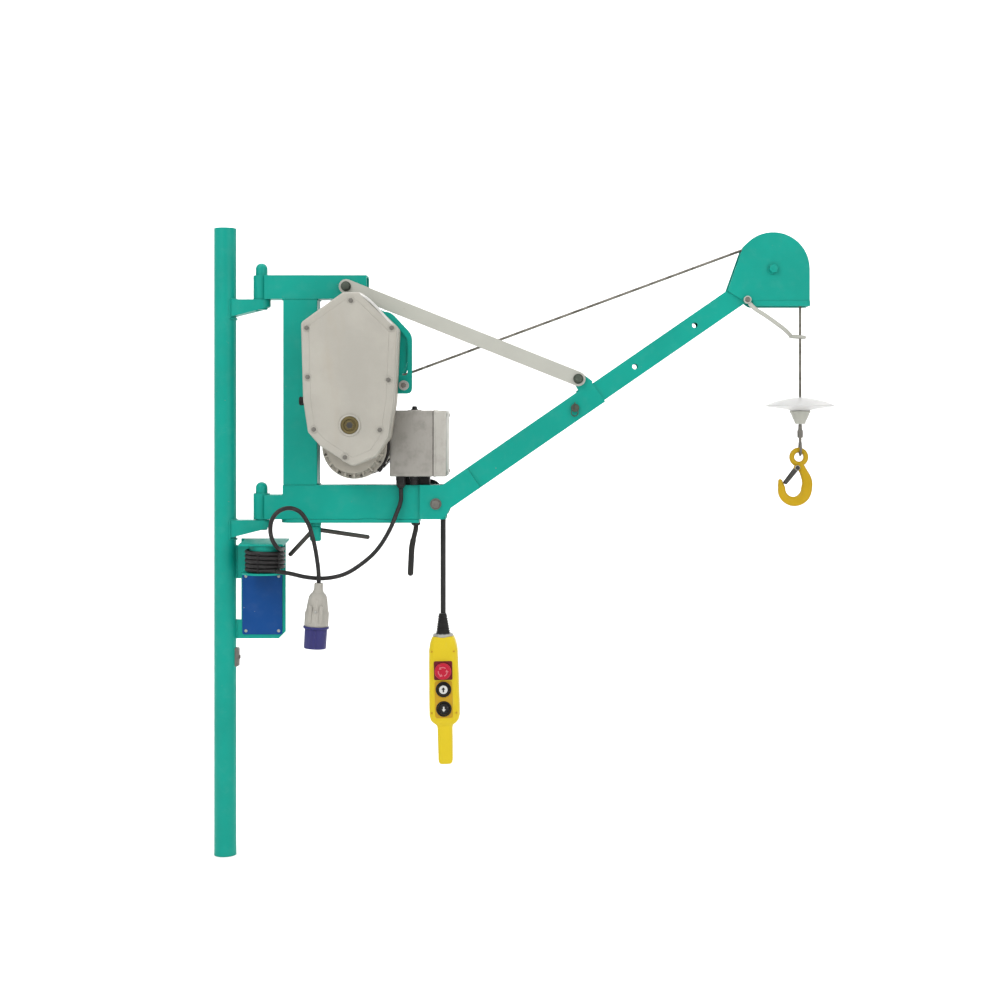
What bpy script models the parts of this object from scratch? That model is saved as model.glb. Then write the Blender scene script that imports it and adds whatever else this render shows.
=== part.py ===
# Builder's jib hoist: a swinging jib with an electric rope winch, carried on a round post.
# Metres, +Z up, jib along +X, operator's side towards -Y. Origin: centre of the post's foot.
import math

import bmesh
import bpy
import numpy as np
from mathutils import Matrix, Vector

# ---------------------------------------------------------------- clearances
GAP = 0.0003             # air between two pieces that rest on each other
RUN = 0.0005             # air round a piece that turns or slides

# ---------------------------------------------------------------- post and hinge
POST_HEIGHT = 1.376
POST_RADIUS = 0.02415
POST_WALL = 0.0032
POST_SIDES = 32
PLUG_FLANGE = 0.003
PLUG_DEPTH = 0.022
HINGE_X = 0.080
PIN_RADIUS = 0.013
PIN_RISE = 0.028         # pin above its sleeve, dome included
SLEEVE_RADIUS = 0.018
BRACKET_RADIUS = 0.020
BRACKET_ROOT = 0.042     # bracket height at the post
BRACKET_TIP = 0.022      # bracket height at the hinge

# ---------------------------------------------------------------- swinging frame
BEAM_HALF = 0.025        # half width of beams and column across the jib
TUBE_WALL = 0.004
UPPER_BEAM_Z = 1.2195
UPPER_BEAM_HEIGHT = 0.052
UPPER_BEAM_END = 0.3135
LOWER_BEAM_Z = 0.738
LOWER_BEAM_HEIGHT = 0.075
LOWER_BEAM_NOSE = 0.053  # height of the lower beam between hinge and column
COLUMN_X = 0.131
COLUMN_WIDTH = 0.0747
STRIP_X = 0.124
STRIP_END = 0.428
STRIP_THICKNESS = 0.0075
STRIP_HALF = 0.0265
LOCK_X = 0.1985
LOCK_RADIUS = 0.0125
LOCK_ROD_RADIUS = 0.005
GRIP_RADIUS = 0.00625

# ---------------------------------------------------------------- boom, brace and head
BOOM_ANGLE = math.radians(34.6)
PIVOT_X = 0.465
PIVOT_Z = 0.772
PIVOT_BOLT_RADIUS = 0.0098
CHEEK_THICKNESS = 0.006
OUTER_HALF = 0.026
OUTER_WALL = 0.003
OUTER_START = 0.040
OUTER_END = 0.431
INNER_HALF = OUTER_HALF - OUTER_WALL - RUN
INNER_WALL = 0.003
INNER_START = 0.350
INNER_END = 0.815
LOCK_HOLE_AT = 0.369
LOCK_HOLE_STEP = 0.159
LOCK_PIN_RADIUS = 0.0055
LUG_HEIGHT = 0.048       # brace bolt above the boom's axis
LUG_AT = 0.4105
LUG_THICKNESS = 0.008
BRACE_HALF = 0.016
BRACE_THICKNESS = 0.008
BRACE_TOP_X = 0.2697
BRACE_TOP_Z = 1.246
BRACE_BOLT_RADIUS = 0.008
BOLT_HEAD = 0.009
HEAD_RADIUS = 0.080
HEAD_WALL = 0.004
HEAD_CLEARANCE = 0.0008
HEAD_BOTTOM = 1.204
HEAD_LIP = 0.0006        # how far the stiffening lip stands past the cheeks' edges
PULLEY_X = 1.201
PULLEY_Z = 1.285
PULLEY_AXLE_RADIUS = 0.010
PULLEY_RIM = 0.070
PULLEY_HALF = 0.011

# ---------------------------------------------------------------- rope and drum
ROPE_RADIUS = 0.003
PULLEY_PITCH = 0.063     # rope centre round the pulley
DRUM_X = 0.309
DRUM_Z = 1.104
WINDING_RADIUS = 0.073
DRUM_CORE = 0.060
DRUM_FLANGE = 0.098
DRUM_FLANGE_THICKNESS = 0.004
DRUM_BACK = 0.022
DRUM_FRONT = -0.040
DRUM_SHAFT_RADIUS = 0.012
PLATE_THICKNESS = 0.008

# ---------------------------------------------------------------- gear case and motor
CASE_BACK = -0.048
CASE_JOINT = -0.095
COVER_FRONT = -0.130
CASE_WALL = 0.005
LOBE_RADIUS = 0.070
LOBE_FRONT = -0.062
HUB_X = 0.290
HUB_Z = 0.944
PRESSURE_ANGLE = math.radians(25)
TOOTH_THINNING = 0.0005  # taken off each tooth at the pitch circle
PINION_TEETH = 11
MOTOR_STAGE = (0.0025, 26)       # module and wheel teeth, motor to first wheel
MIDDLE_STAGE = (0.003, 40)
DRUM_STAGE = (0.0035, 38)
LAYER_DRUM = (-0.073, -0.058)    # back to front positions of the three gear pairs
LAYER_MIDDLE = (-0.091, -0.077)
LAYER_MOTOR = (-0.108, -0.096)
GEAR_SHAFT_RADIUS = 0.007
MOTOR_RADIUS = 0.068
MOTOR_BORE = 0.048
MOTOR_FLANGE_STEP = 0.006
MOTOR_BACK = 0.100
COWL_BACK = 0.150
ROTOR_RADIUS = 0.046

# ---------------------------------------------------------------- electric box
BOX_X = 0.366
BOX_SEAM = 0.461
BOX_END = 0.489
BOX_Z = 0.832
BOX_TOP = 0.976
BOX_FRONT = -0.0455
BOX_BACK = 0.064
BOX_WALL = 0.0025
GLAND_X = 0.3894
GLAND_Y = -0.0345
GLAND_BOTTOM = 0.807
LEAD_GLAND_X = 0.423

# ---------------------------------------------------------------- pendant control
PENDANT_X = 0.4755
PENDANT_Y = 0.052
PENDANT_PIVOT_Z = 0.7285
PENDANT_CABLE_RADIUS = 0.006
CABLE_BEND = 0.0024       # room above the hanging cable for it to swing
BOOT_TOP = 0.5235
BOOT_BOTTOM = 0.4775
PENDANT_TILT = math.radians(1.2)
PENDANT_HALF_DEPTH = 0.024
HANDLE_HALF_DEPTH = 0.015
BUTTON_POCKET = 0.012
ESTOP_BELOW = 0.0785     # button centres below the boot
UP_BELOW = 0.1197
DOWN_BELOW = 0.1627
BUTTON_RADIUS = 0.013

# ---------------------------------------------------------------- hook block
HOOK_X = PULLEY_X + PULLEY_PITCH
DISC_RADIUS = 0.075
DISC_TOP = 1.0045
DISC_BOTTOM = 0.976
CONE_BOTTOM = 0.946
FERRULE_RADIUS = 0.005
LOOP_Z = 0.893
LOOP_RADIUS = 0.0150
LOOP_WIRE = 0.003
EYE_X = 1.261
EYE_Z = 0.8735
EYE_RADIUS = 0.020
EYE_HOLE = 0.0101
EYE_HALF = 0.0055
HOOK_HALF = 0.008
BOWL_X = 1.249
BOWL_Z = 0.806

# ---------------------------------------------------------------- cable hanger and supply cord
HANGER_THICKNESS = 0.004
HANGER_LEFT = 0.022
HANGER_RIGHT = 0.133
HANGER_BOTTOM = 0.475
HANGER_TOP = 0.695
ROOF_LEFT = 0.0455
ROOF_RIGHT = 0.1411
ROOF_FRONT = -0.086
ROOF_SLOPE = 0.08
CORD_RADIUS = 0.00465
COIL_X = 0.096
COIL_Y = -0.050
COIL_MEAN = 0.0387       # radius at the middle of the turns
COIL_TURNS = 5
COIL_BOTTOM = 0.626
COIL_PITCH = 0.0096
PLUG_TOP = (0.2167, -0.076, 0.6043)
PLUG_LENGTH = 0.141
PLUG_RADIUS = 0.0275
PLUG_TILT = math.radians(3.5)

CORD_ROUTE = [
    (0.3894, -0.0345, 0.8067), (0.3894, -0.0350, 0.7806), (0.3790, -0.0400, 0.7482),
    (0.3622, -0.0450, 0.7095), (0.3346, -0.0490, 0.6687), (0.3028, -0.0530, 0.6411),
    (0.2711, -0.0570, 0.6222), (0.2288, -0.0615, 0.6131), (0.1865, -0.0710, 0.6169),
    (0.1550, -0.0825, 0.6255), (0.1264, -0.0889, 0.6306),
]
TAIL_ROUTE = [
    (0.1349, -0.0800, 0.6700), (0.1310, -0.0975, 0.6780), (0.1225, -0.1065, 0.6980),
    (0.1178, -0.1070, 0.7220), (0.1226, -0.1040, 0.7456),
    (0.1369, -0.1000, 0.7614), (0.1574, -0.0950, 0.7665), (0.1759, -0.0900, 0.7598),
    (0.1923, -0.0850, 0.7380), (0.2046, -0.0810, 0.7012), (0.2127, -0.0780, 0.6580),
    (0.2160, -0.0765, 0.6290), (0.2167, -0.0760, 0.6053),
]
LEAD_ROUTE = [
    (0.4370, 0.0520, 0.8170), (0.4490, 0.0520, 0.8170), (0.4590, 0.0520, 0.8130),
    (0.4665, 0.0520, 0.8020), (0.4695, 0.0520, 0.7850), (0.4700, 0.0520, 0.7650),
    (0.4730, 0.0520, 0.7480), (0.4755, 0.0520, 0.7360), (0.4755, 0.0520, 0.7292),
]

FINISHES = {             # colour, roughness, metallic
    "green": ((0.012, 0.350, 0.270), 0.40, 0.0),
    "casting": ((0.540, 0.510, 0.470), 0.55, 0.3),
    "steel": ((0.420, 0.410, 0.380), 0.45, 0.7),
    "dark_steel": ((0.120, 0.110, 0.100), 0.50, 0.7),
    "grey_paint": ((0.480, 0.470, 0.410), 0.50, 0.0),
    "black": ((0.012, 0.012, 0.012), 0.60, 0.0),
    "white": ((0.780, 0.780, 0.760), 0.45, 0.0),
    "yellow": ((0.780, 0.560, 0.020), 0.45, 0.0),
    "hook_yellow": ((0.600, 0.360, 0.020), 0.45, 0.0),
    "red": ((0.450, 0.015, 0.020), 0.40, 0.0),
    "blue": ((0.020, 0.080, 0.270), 0.45, 0.0),
    "plug_grey": ((0.480, 0.470, 0.440), 0.50, 0.0),
}

parts = None
cutters = None


# ================================================================ making shapes
def start_scene():
    for old in list(bpy.data.objects):
        bpy.data.objects.remove(old, do_unlink=True)
    global parts, cutters
    parts = bpy.data.collections.new("builders_jib_hoist")
    cutters = bpy.data.collections.new("cutters")
    bpy.context.scene.collection.children.link(parts)
    bpy.context.scene.collection.children.link(cutters)


def empty(name, place, tilt=0.0, parent=None):
    """A guide frame; tilt turns it about its own Y axis."""
    guide = bpy.data.objects.new(name, None)
    guide.location = place
    guide.rotation_euler = (0.0, tilt, 0.0)
    guide.parent = parent
    parts.objects.link(guide)
    return guide


def add(name, mesh, frame=None):
    shape = bpy.data.objects.new(name, mesh)
    shape.parent = frame
    parts.objects.link(shape)
    return shape


def paint(shape, finish):
    colour, roughness, metallic = FINISHES[finish]
    material = bpy.data.materials.new(shape.name + "_finish")
    material.use_nodes = True
    surface = material.node_tree.nodes["Principled BSDF"]
    surface.inputs["Base Color"].default_value = (*colour, 1.0)
    surface.inputs["Roughness"].default_value = roughness
    surface.inputs["Metallic"].default_value = metallic
    shape.data.materials.clear()
    shape.data.materials.append(material)
    return shape


def smooth(shape, angle=40):
    shape.data.shade_smooth()
    shape.data.set_sharp_from_angle(angle=math.radians(angle))
    return shape


def box(name, low, high, frame=None):
    """A block from its lowest to its highest corner."""
    low = Vector(low)
    high = Vector(high)
    size = high - low
    grid = bmesh.new()
    place = Matrix.Translation((low + high) / 2) @ Matrix.Diagonal((*size, 1.0))
    bmesh.ops.create_cube(grid, size=1.0, matrix=place)
    mesh = bpy.data.meshes.new(name)
    grid.to_mesh(mesh)
    grid.free()
    return add(name, mesh, frame)


def rod(name, start, end, radius, frame=None, sides=20, end_radius=None):
    """A round or, with few sides, a many-sided bar between two points."""
    start = Vector(start)
    end = Vector(end)
    along = end - start
    turn = along.to_track_quat("Z", "Y").to_matrix().to_4x4()
    grid = bmesh.new()
    bmesh.ops.create_cone(
        grid, cap_ends=True, segments=sides, radius1=radius,
        radius2=radius if end_radius is None else end_radius,
        depth=along.length, matrix=Matrix.Translation((start + end) / 2) @ turn,
    )
    mesh = bpy.data.meshes.new(name)
    grid.to_mesh(mesh)
    grid.free()
    shape = add(name, mesh, frame)
    return smooth(shape) if sides > 8 else shape


def turned(name, profile, place, axis="Z", sides=32, ring=False, frame=None):
    """Turns (radius, height) points, top to bottom on the outer side, about Z or along +Y."""
    count = len(profile)
    edges = [(i, i + 1) for i in range(count - 1)]
    if ring:
        edges.append((count - 1, 0))
    mesh = bpy.data.meshes.new(name)
    mesh.from_pydata([(r, 0.0, z) for r, z in profile], edges, [])
    shape = add(name, mesh, frame)
    shape.location = place
    shape.rotation_euler = {"Z": (0, 0, 0), "Y": (-math.pi / 2, 0, 0), "X": (0, math.pi / 2, 0)}[axis]
    screw = shape.modifiers.new("turn", "SCREW")
    screw.steps = sides
    screw.render_steps = sides
    screw.use_merge_vertices = True
    screw.merge_threshold = 0.00001
    screw.use_smooth_shade = True
    return shape


def fixed_mesh(shape):
    """Turns a curve, caps welded, into a plain mesh object in the same place."""
    graph = bpy.context.evaluated_depsgraph_get()
    graph.update()
    mesh = bpy.data.meshes.new_from_object(shape.evaluated_get(graph))
    grid = bmesh.new()
    grid.from_mesh(mesh)
    bmesh.ops.remove_doubles(grid, verts=grid.verts, dist=0.00001)
    bmesh.ops.recalc_face_normals(grid, faces=grid.faces)
    grid.to_mesh(mesh)
    grid.free()
    name = shape.name
    solid = add(name + "_solid", mesh, shape.parent)
    solid.location = shape.location
    solid.rotation_euler = shape.rotation_euler
    bpy.data.objects.remove(shape, do_unlink=True)
    solid.name = name
    return solid


def plate(name, outline, low, high, plane="XZ", frame=None):
    """A flat outline given thickness: in XZ from y=low to y=high, in XY from z=low to z=high."""
    curve = bpy.data.curves.new(name, "CURVE")
    curve.dimensions = "2D"
    curve.fill_mode = "BOTH"
    curve.extrude = (high - low) / 2
    spline = curve.splines.new("POLY")
    spline.points.add(len(outline) - 1)
    for point, (u, v) in zip(spline.points, outline):
        point.co = (u, v, 0.0, 1.0)
    spline.use_cyclic_u = True
    shape = add(name, curve, frame)
    middle = (low + high) / 2
    if plane == "XZ":
        shape.rotation_euler = (math.pi / 2, 0.0, 0.0)
        shape.location = (0.0, middle, 0.0)
    else:
        shape.location = (0.0, 0.0, middle)
    return fixed_mesh(shape)


def tube(name, points, radius, detail=2, frame=None):
    curve = bpy.data.curves.new(name, "CURVE")
    curve.dimensions = "3D"
    curve.bevel_depth = radius
    curve.bevel_resolution = detail
    curve.use_fill_caps = True
    spline = curve.splines.new("POLY")
    spline.points.add(len(points) - 1)
    for point, place in zip(spline.points, points):
        point.co = (*place, 1.0)
    return add(name, curve, frame)


def as_tool(shape):
    """Moves a shape to the cutters, where it is only used by Boolean modifiers."""
    if parts.objects.get(shape.name):
        parts.objects.unlink(shape)
        cutters.objects.link(shape)
    shape.hide_render = True
    shape.display_type = "WIRE"
    return shape


def boolean(shape, tool, operation):
    step = shape.modifiers.new(operation.lower(), "BOOLEAN")
    step.operation = operation
    step.solver = "EXACT"
    step.object = as_tool(tool)
    return shape


def cut(shape, *tools):
    for tool in tools:
        boolean(shape, tool, "DIFFERENCE")
    return shape


def join(shape, *tools):
    for tool in tools:
        boolean(shape, tool, "UNION")
    return shape


def arc(centre, radius, start, end, steps):
    """Points on an arc; angles in degrees, counter-clockwise from +X."""
    turns = np.radians(np.linspace(start, end, steps))
    return [(centre[0] + radius * math.cos(a), centre[1] + radius * math.sin(a)) for a in turns]


def rounded(corners, radius, steps=4):
    """Replaces each corner of an outline by an arc-like curve that starts `radius` before it."""
    outline = []
    for i, corner in enumerate(corners):
        here = Vector(corner)
        before = here + (Vector(corners[i - 1]) - here).normalized() * radius
        after = here + (Vector(corners[(i + 1) % len(corners)]) - here).normalized() * radius
        for t in np.linspace(0.0, 1.0, steps):
            point = before * (1 - t) ** 2 + here * (2 * t * (1 - t)) + after * t ** 2
            outline.append((point.x, point.y))
    return outline


def capsule(start, end, half, steps=7):
    """Outline of a bar with round ends between two points."""
    slope = math.degrees(math.atan2(end[1] - start[1], end[0] - start[0]))
    return arc(end, half, slope - 90, slope + 90, steps) + arc(start, half, slope + 90, slope + 270, steps)


def smooth_route(route, spacing):
    """Even points on a smooth curve through the route's own points."""
    route = np.array(route)
    reach = np.r_[0.0, np.cumsum(np.linalg.norm(np.diff(route, axis=0), axis=1))]
    slopes = np.gradient(route, reach, axis=0)
    fine = np.linspace(0.0, reach[-1], 600)
    span = np.clip(np.searchsorted(reach, fine, side="right") - 1, 0, len(route) - 2)
    width = (reach[span + 1] - reach[span])[:, None]
    t = (fine - reach[span])[:, None] / width
    curve = (
        (2 * t ** 3 - 3 * t ** 2 + 1) * route[span] + (t ** 3 - 2 * t ** 2 + t) * width * slopes[span]
        + (3 * t ** 2 - 2 * t ** 3) * route[span + 1] + (t ** 3 - t ** 2) * width * slopes[span + 1]
    )
    length = np.r_[0.0, np.cumsum(np.linalg.norm(np.diff(curve, axis=0), axis=1))]
    steps = np.linspace(0.0, length[-1], int(length[-1] / spacing) + 1)
    return [tuple(np.interp(s, length, curve[:, k]) for k in range(3)) for s in steps]


def boom_point(along, above):
    """World (x, z) of a point in the boom's own direction, from the boom's pivot bolt."""
    c = math.cos(BOOM_ANGLE)
    s = math.sin(BOOM_ANGLE)
    return (PIVOT_X + along * c - above * s, PIVOT_Z + along * s + above * c)


def bolt(name, x, z, front, back, radius, head, frame=None, nut=True):
    """A bolt along Y: hexagon head outside `front`, nut outside `back`."""
    shape = rod(name, (x, front - 0.001, z), (x, back, z), radius, frame, 16)
    join(shape, rod(name + "_head", (x, front - GAP - BOLT_HEAD, z), (x, front - GAP, z), head, frame, 6))
    if nut:
        join(shape, rod(name + "_nut", (x, back - BOLT_HEAD, z), (x, back, z), head, frame, 6))
    return shape


# ================================================================ post
def make_post():
    tube_shape = rod("post_tube", (0, 0, PLUG_FLANGE + GAP), (0, 0, POST_HEIGHT), POST_RADIUS,
                     sides=POST_SIDES)
    bore = POST_RADIUS - POST_WALL
    cut(tube_shape, rod("post_bore", (0, 0, -0.01), (0, 0, POST_HEIGHT + 0.01), bore, sides=POST_SIDES))
    paint(tube_shape, "green")

    plug = bore - GAP
    foot = turned("post_foot_plug", [
        (0.0, PLUG_DEPTH), (plug - 0.002, PLUG_DEPTH), (plug, PLUG_DEPTH - 0.002), (plug, PLUG_FLANGE),
        (POST_RADIUS, PLUG_FLANGE), (POST_RADIUS, 0.0), (0.0, 0.0),
    ], (0, 0, 0), sides=POST_SIDES)
    paint(foot, "black")
    top = rod("post_top_plug", (0, 0, POST_HEIGHT - 0.012), (0, 0, POST_HEIGHT - 0.002), plug,
              sides=POST_SIDES)
    paint(top, "black")


def make_bracket(name, top):
    """An arm welded to the post, its underside rising towards the hinge pin."""
    plan = [(0.0, -BRACKET_RADIUS)]
    plan += arc((HINGE_X, 0.0), BRACKET_RADIUS, -90, 90, 13)
    plan += [(0.0, BRACKET_RADIUS)]
    arm = plate(name, plan, top - BRACKET_ROOT, top, "XY")
    for vertex in arm.data.vertices:
        if vertex.co.z < 0.0:
            share = max(vertex.co.x - POST_RADIUS, 0.0) / (HINGE_X - POST_RADIUS)
            vertex.co.z += share * (BRACKET_ROOT - BRACKET_TIP)
    cut(arm, rod(name + "_saddle", (0, 0, top - 0.1), (0, 0, top + 0.1), POST_RADIUS + GAP, sides=POST_SIDES))
    cut(arm, rod(name + "_bore", (HINGE_X, 0, top - 0.1), (HINGE_X, 0, top + 0.1), PIN_RADIUS + GAP,
                 sides=24))
    return paint(arm, "green")


def make_hinge_pin(name, bracket_top, sleeve_top):
    top = sleeve_top + PIN_RISE
    dome = [(PIN_RADIUS * math.sin(a), top - PIN_RADIUS * (1 - math.cos(a))) for a in np.radians([0, 30,
                                                                                                  60, 90])]
    profile = dome + [(PIN_RADIUS, bracket_top - BRACKET_TIP), (0.0, bracket_top - BRACKET_TIP)]
    return paint(turned(name, profile, (HINGE_X, 0, 0), sides=24), "green")


def make_hanger():
    """Welded plate that carries the wound supply cord on a round core under a sloping roof."""
    half = HANGER_THICKNESS / 2
    slot_right = 0.0355
    outline = [
        (HANGER_LEFT, HANGER_BOTTOM), (HANGER_RIGHT - 0.015, HANGER_BOTTOM),
        (HANGER_RIGHT, HANGER_BOTTOM + 0.015), (HANGER_RIGHT, HANGER_TOP), (slot_right, HANGER_TOP),
        (slot_right, 0.680), (HANGER_LEFT, 0.680),
    ]
    hanger = plate("hanger_plate", outline, -half, half)
    cut(hanger, box("hanger_slot", (0.0, -0.02, 0.517), (slot_right, 0.02, 0.607)))
    roof = box("hanger_roof", (ROOF_LEFT, ROOF_FRONT, HANGER_TOP - 0.004), (ROOF_RIGHT, 0.0, HANGER_TOP))
    for vertex in roof.data.vertices:
        vertex.co.z += vertex.co.y * ROOF_SLOPE
    core_radius = COIL_MEAN - CORD_RADIUS - RUN
    flange_top = COIL_BOTTOM - GAP
    core = rod("hanger_core", (COIL_X, COIL_Y, flange_top - 0.002), (COIL_X, COIL_Y, 0.6845),
               core_radius, sides=28)
    flange = rod("hanger_flange", (COIL_X, COIL_Y, flange_top - 0.004), (COIL_X, COIL_Y, flange_top),
                 -COIL_Y, sides=28)
    join(hanger, roof, core, flange)
    saddle = rod("hanger_saddle", (0, 0, 0.4), (0, 0, 0.8), POST_RADIUS + GAP, sides=POST_SIDES)
    cut(hanger, saddle)
    paint(hanger, "green")

    front = -half - GAP
    blank = plate("blank_plate", rounded([(0.038, 0.484), (0.126, 0.484), (0.126, 0.620), (0.038,
                                                                                           0.620)], 0.004, 3),
                  front - 0.002, front)
    paint(blank, "blue")


# ================================================================ swinging frame
def add_sleeve(beam, low, high):
    join(beam, rod(beam.name + "_sleeve", (HINGE_X, 0, low), (HINGE_X, 0, high), SLEEVE_RADIUS, sides=28))
    bore = PIN_RADIUS + RUN
    cut(beam, rod(beam.name + "_bore", (HINGE_X, 0, low - 0.02), (HINGE_X, 0, high + 0.02), bore, sides=24))


def make_frame():
    inside = BEAM_HALF - TUBE_WALL
    top = UPPER_BEAM_Z + UPPER_BEAM_HEIGHT
    beam = box("upper_beam", (HINGE_X + 0.010, -BEAM_HALF, UPPER_BEAM_Z), (UPPER_BEAM_END, BEAM_HALF, top))
    hollow_low = (HINGE_X + SLEEVE_RADIUS + TUBE_WALL, -inside, UPPER_BEAM_Z + TUBE_WALL)
    cut(beam, box("upper_beam_hollow", hollow_low, (UPPER_BEAM_END + 0.02, inside, top - TUBE_WALL)))
    add_sleeve(beam, UPPER_BEAM_Z + GAP, top + 0.0005)
    cut(beam, bolt_hole("upper_beam_bolt_hole", BRACE_TOP_X, BRACE_TOP_Z, BRACE_BOLT_RADIUS))
    paint(beam, "green")

    low_top = LOWER_BEAM_Z + LOWER_BEAM_HEIGHT
    right = PIVOT_X + 0.0215
    cut_line = OUTER_START - 0.012
    outline = [
        (HINGE_X + 0.010, LOWER_BEAM_Z), (right, LOWER_BEAM_Z), (right, end_line_z(right, cut_line)),
        (end_line_x(low_top, cut_line), low_top), (COLUMN_X - 0.001, low_top),
        (COLUMN_X - 0.001, LOWER_BEAM_Z + LOWER_BEAM_NOSE), (HINGE_X + 0.010, LOWER_BEAM_Z + LOWER_BEAM_NOSE),
    ]
    beam = plate("lower_beam", outline, -BEAM_HALF, BEAM_HALF)
    hollow = box("lower_beam_hollow", (COLUMN_X + 0.004, -inside, LOWER_BEAM_Z + TUBE_WALL),
                 (right + 0.03, inside, low_top - TUBE_WALL))
    cut(beam, hollow)
    add_sleeve(beam, LOWER_BEAM_Z - 0.0008, LOWER_BEAM_Z + LOWER_BEAM_NOSE + 0.003)
    cut(beam, bolt_hole("lower_beam_bolt_hole", PIVOT_X, PIVOT_Z, PIVOT_BOLT_RADIUS))
    paint(beam, "green")

    column_high = UPPER_BEAM_Z - GAP
    column_low = low_top + GAP
    column = box("frame_column", (COLUMN_X, -BEAM_HALF, column_low), (COLUMN_X + COLUMN_WIDTH,
                                                                      BEAM_HALF, column_high))
    cut(column, box("column_hollow", (COLUMN_X + TUBE_WALL, -inside, column_low - 0.02),
                    (COLUMN_X + COLUMN_WIDTH - TUBE_WALL, inside, column_high + 0.02)))
    paint(column, "green")

    strip_top = LOWER_BEAM_Z - GAP
    plan = [(STRIP_END, -STRIP_HALF), (STRIP_END, STRIP_HALF)]
    plan += arc((STRIP_X + STRIP_HALF, 0.0), STRIP_HALF, 90, 270, 9)
    strip = plate("base_strip", plan, strip_top - STRIP_THICKNESS, strip_top, "XY")
    paint(strip, "green")


def end_line_z(x, along):
    """Height where the plane across the boom at `along` meets x."""
    above = (PIVOT_X + along * math.cos(BOOM_ANGLE) - x) / math.sin(BOOM_ANGLE)
    return boom_point(along, above)[1]


def end_line_x(z, along):
    above = (z - PIVOT_Z - along * math.sin(BOOM_ANGLE)) / math.cos(BOOM_ANGLE)
    return boom_point(along, above)[0]


def bolt_hole(name, x, z, bolt_radius, frame=None):
    return rod(name, (x, -0.08, z), (x, 0.08, z), bolt_radius + GAP, frame, 16)


def make_lock():
    """Screw lock below the beam, turned by its two-armed handle."""
    strip_bottom = LOWER_BEAM_Z - GAP - STRIP_THICKNESS
    boss_bottom = 0.7222
    boss = rod("lock_boss", (LOCK_X, 0, boss_bottom), (LOCK_X, 0, strip_bottom - GAP), LOCK_RADIUS, sides=20)
    stem = 0.0065
    cut(boss, rod("lock_boss_bore", (LOCK_X, 0, 0.7), (LOCK_X, 0, 0.75), stem + GAP, sides=16))
    paint(boss, "green")
    screw = rod("lock_screw", (LOCK_X, 0, 0.689), (LOCK_X, 0, boss_bottom - RUN), LOCK_RADIUS, sides=20)
    shank = rod("lock_screw_stem", (LOCK_X, 0, 0.70), (LOCK_X, 0, strip_bottom - GAP), stem, sides=16)
    left = rod("lock_left_arm", (LOCK_X - 0.008, 0, 0.7105), (0.1400, 0, 0.6560), LOCK_ROD_RADIUS, sides=12)
    right = rod("lock_right_arm", (LOCK_X + 0.008, 0, 0.7135), (0.3180, 0, 0.6970), LOCK_ROD_RADIUS, sides=12)
    join(screw, shank, left, right)
    paint(screw, "dark_steel")


def make_grip():
    top = LOWER_BEAM_Z - GAP - STRIP_THICKNESS - GAP
    route = [(0.4190, 0, top - 0.0004), (0.4190, 0, top - 0.014), (0.4165, 0, 0.7050), (0.4110, 0, 0.6800),
             (0.4085, 0, 0.6450), (0.4070, 0, 0.6120)]
    paint(tube("grip_handle", smooth_route(route, 0.014), GRIP_RADIUS, 2), "black")


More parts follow.
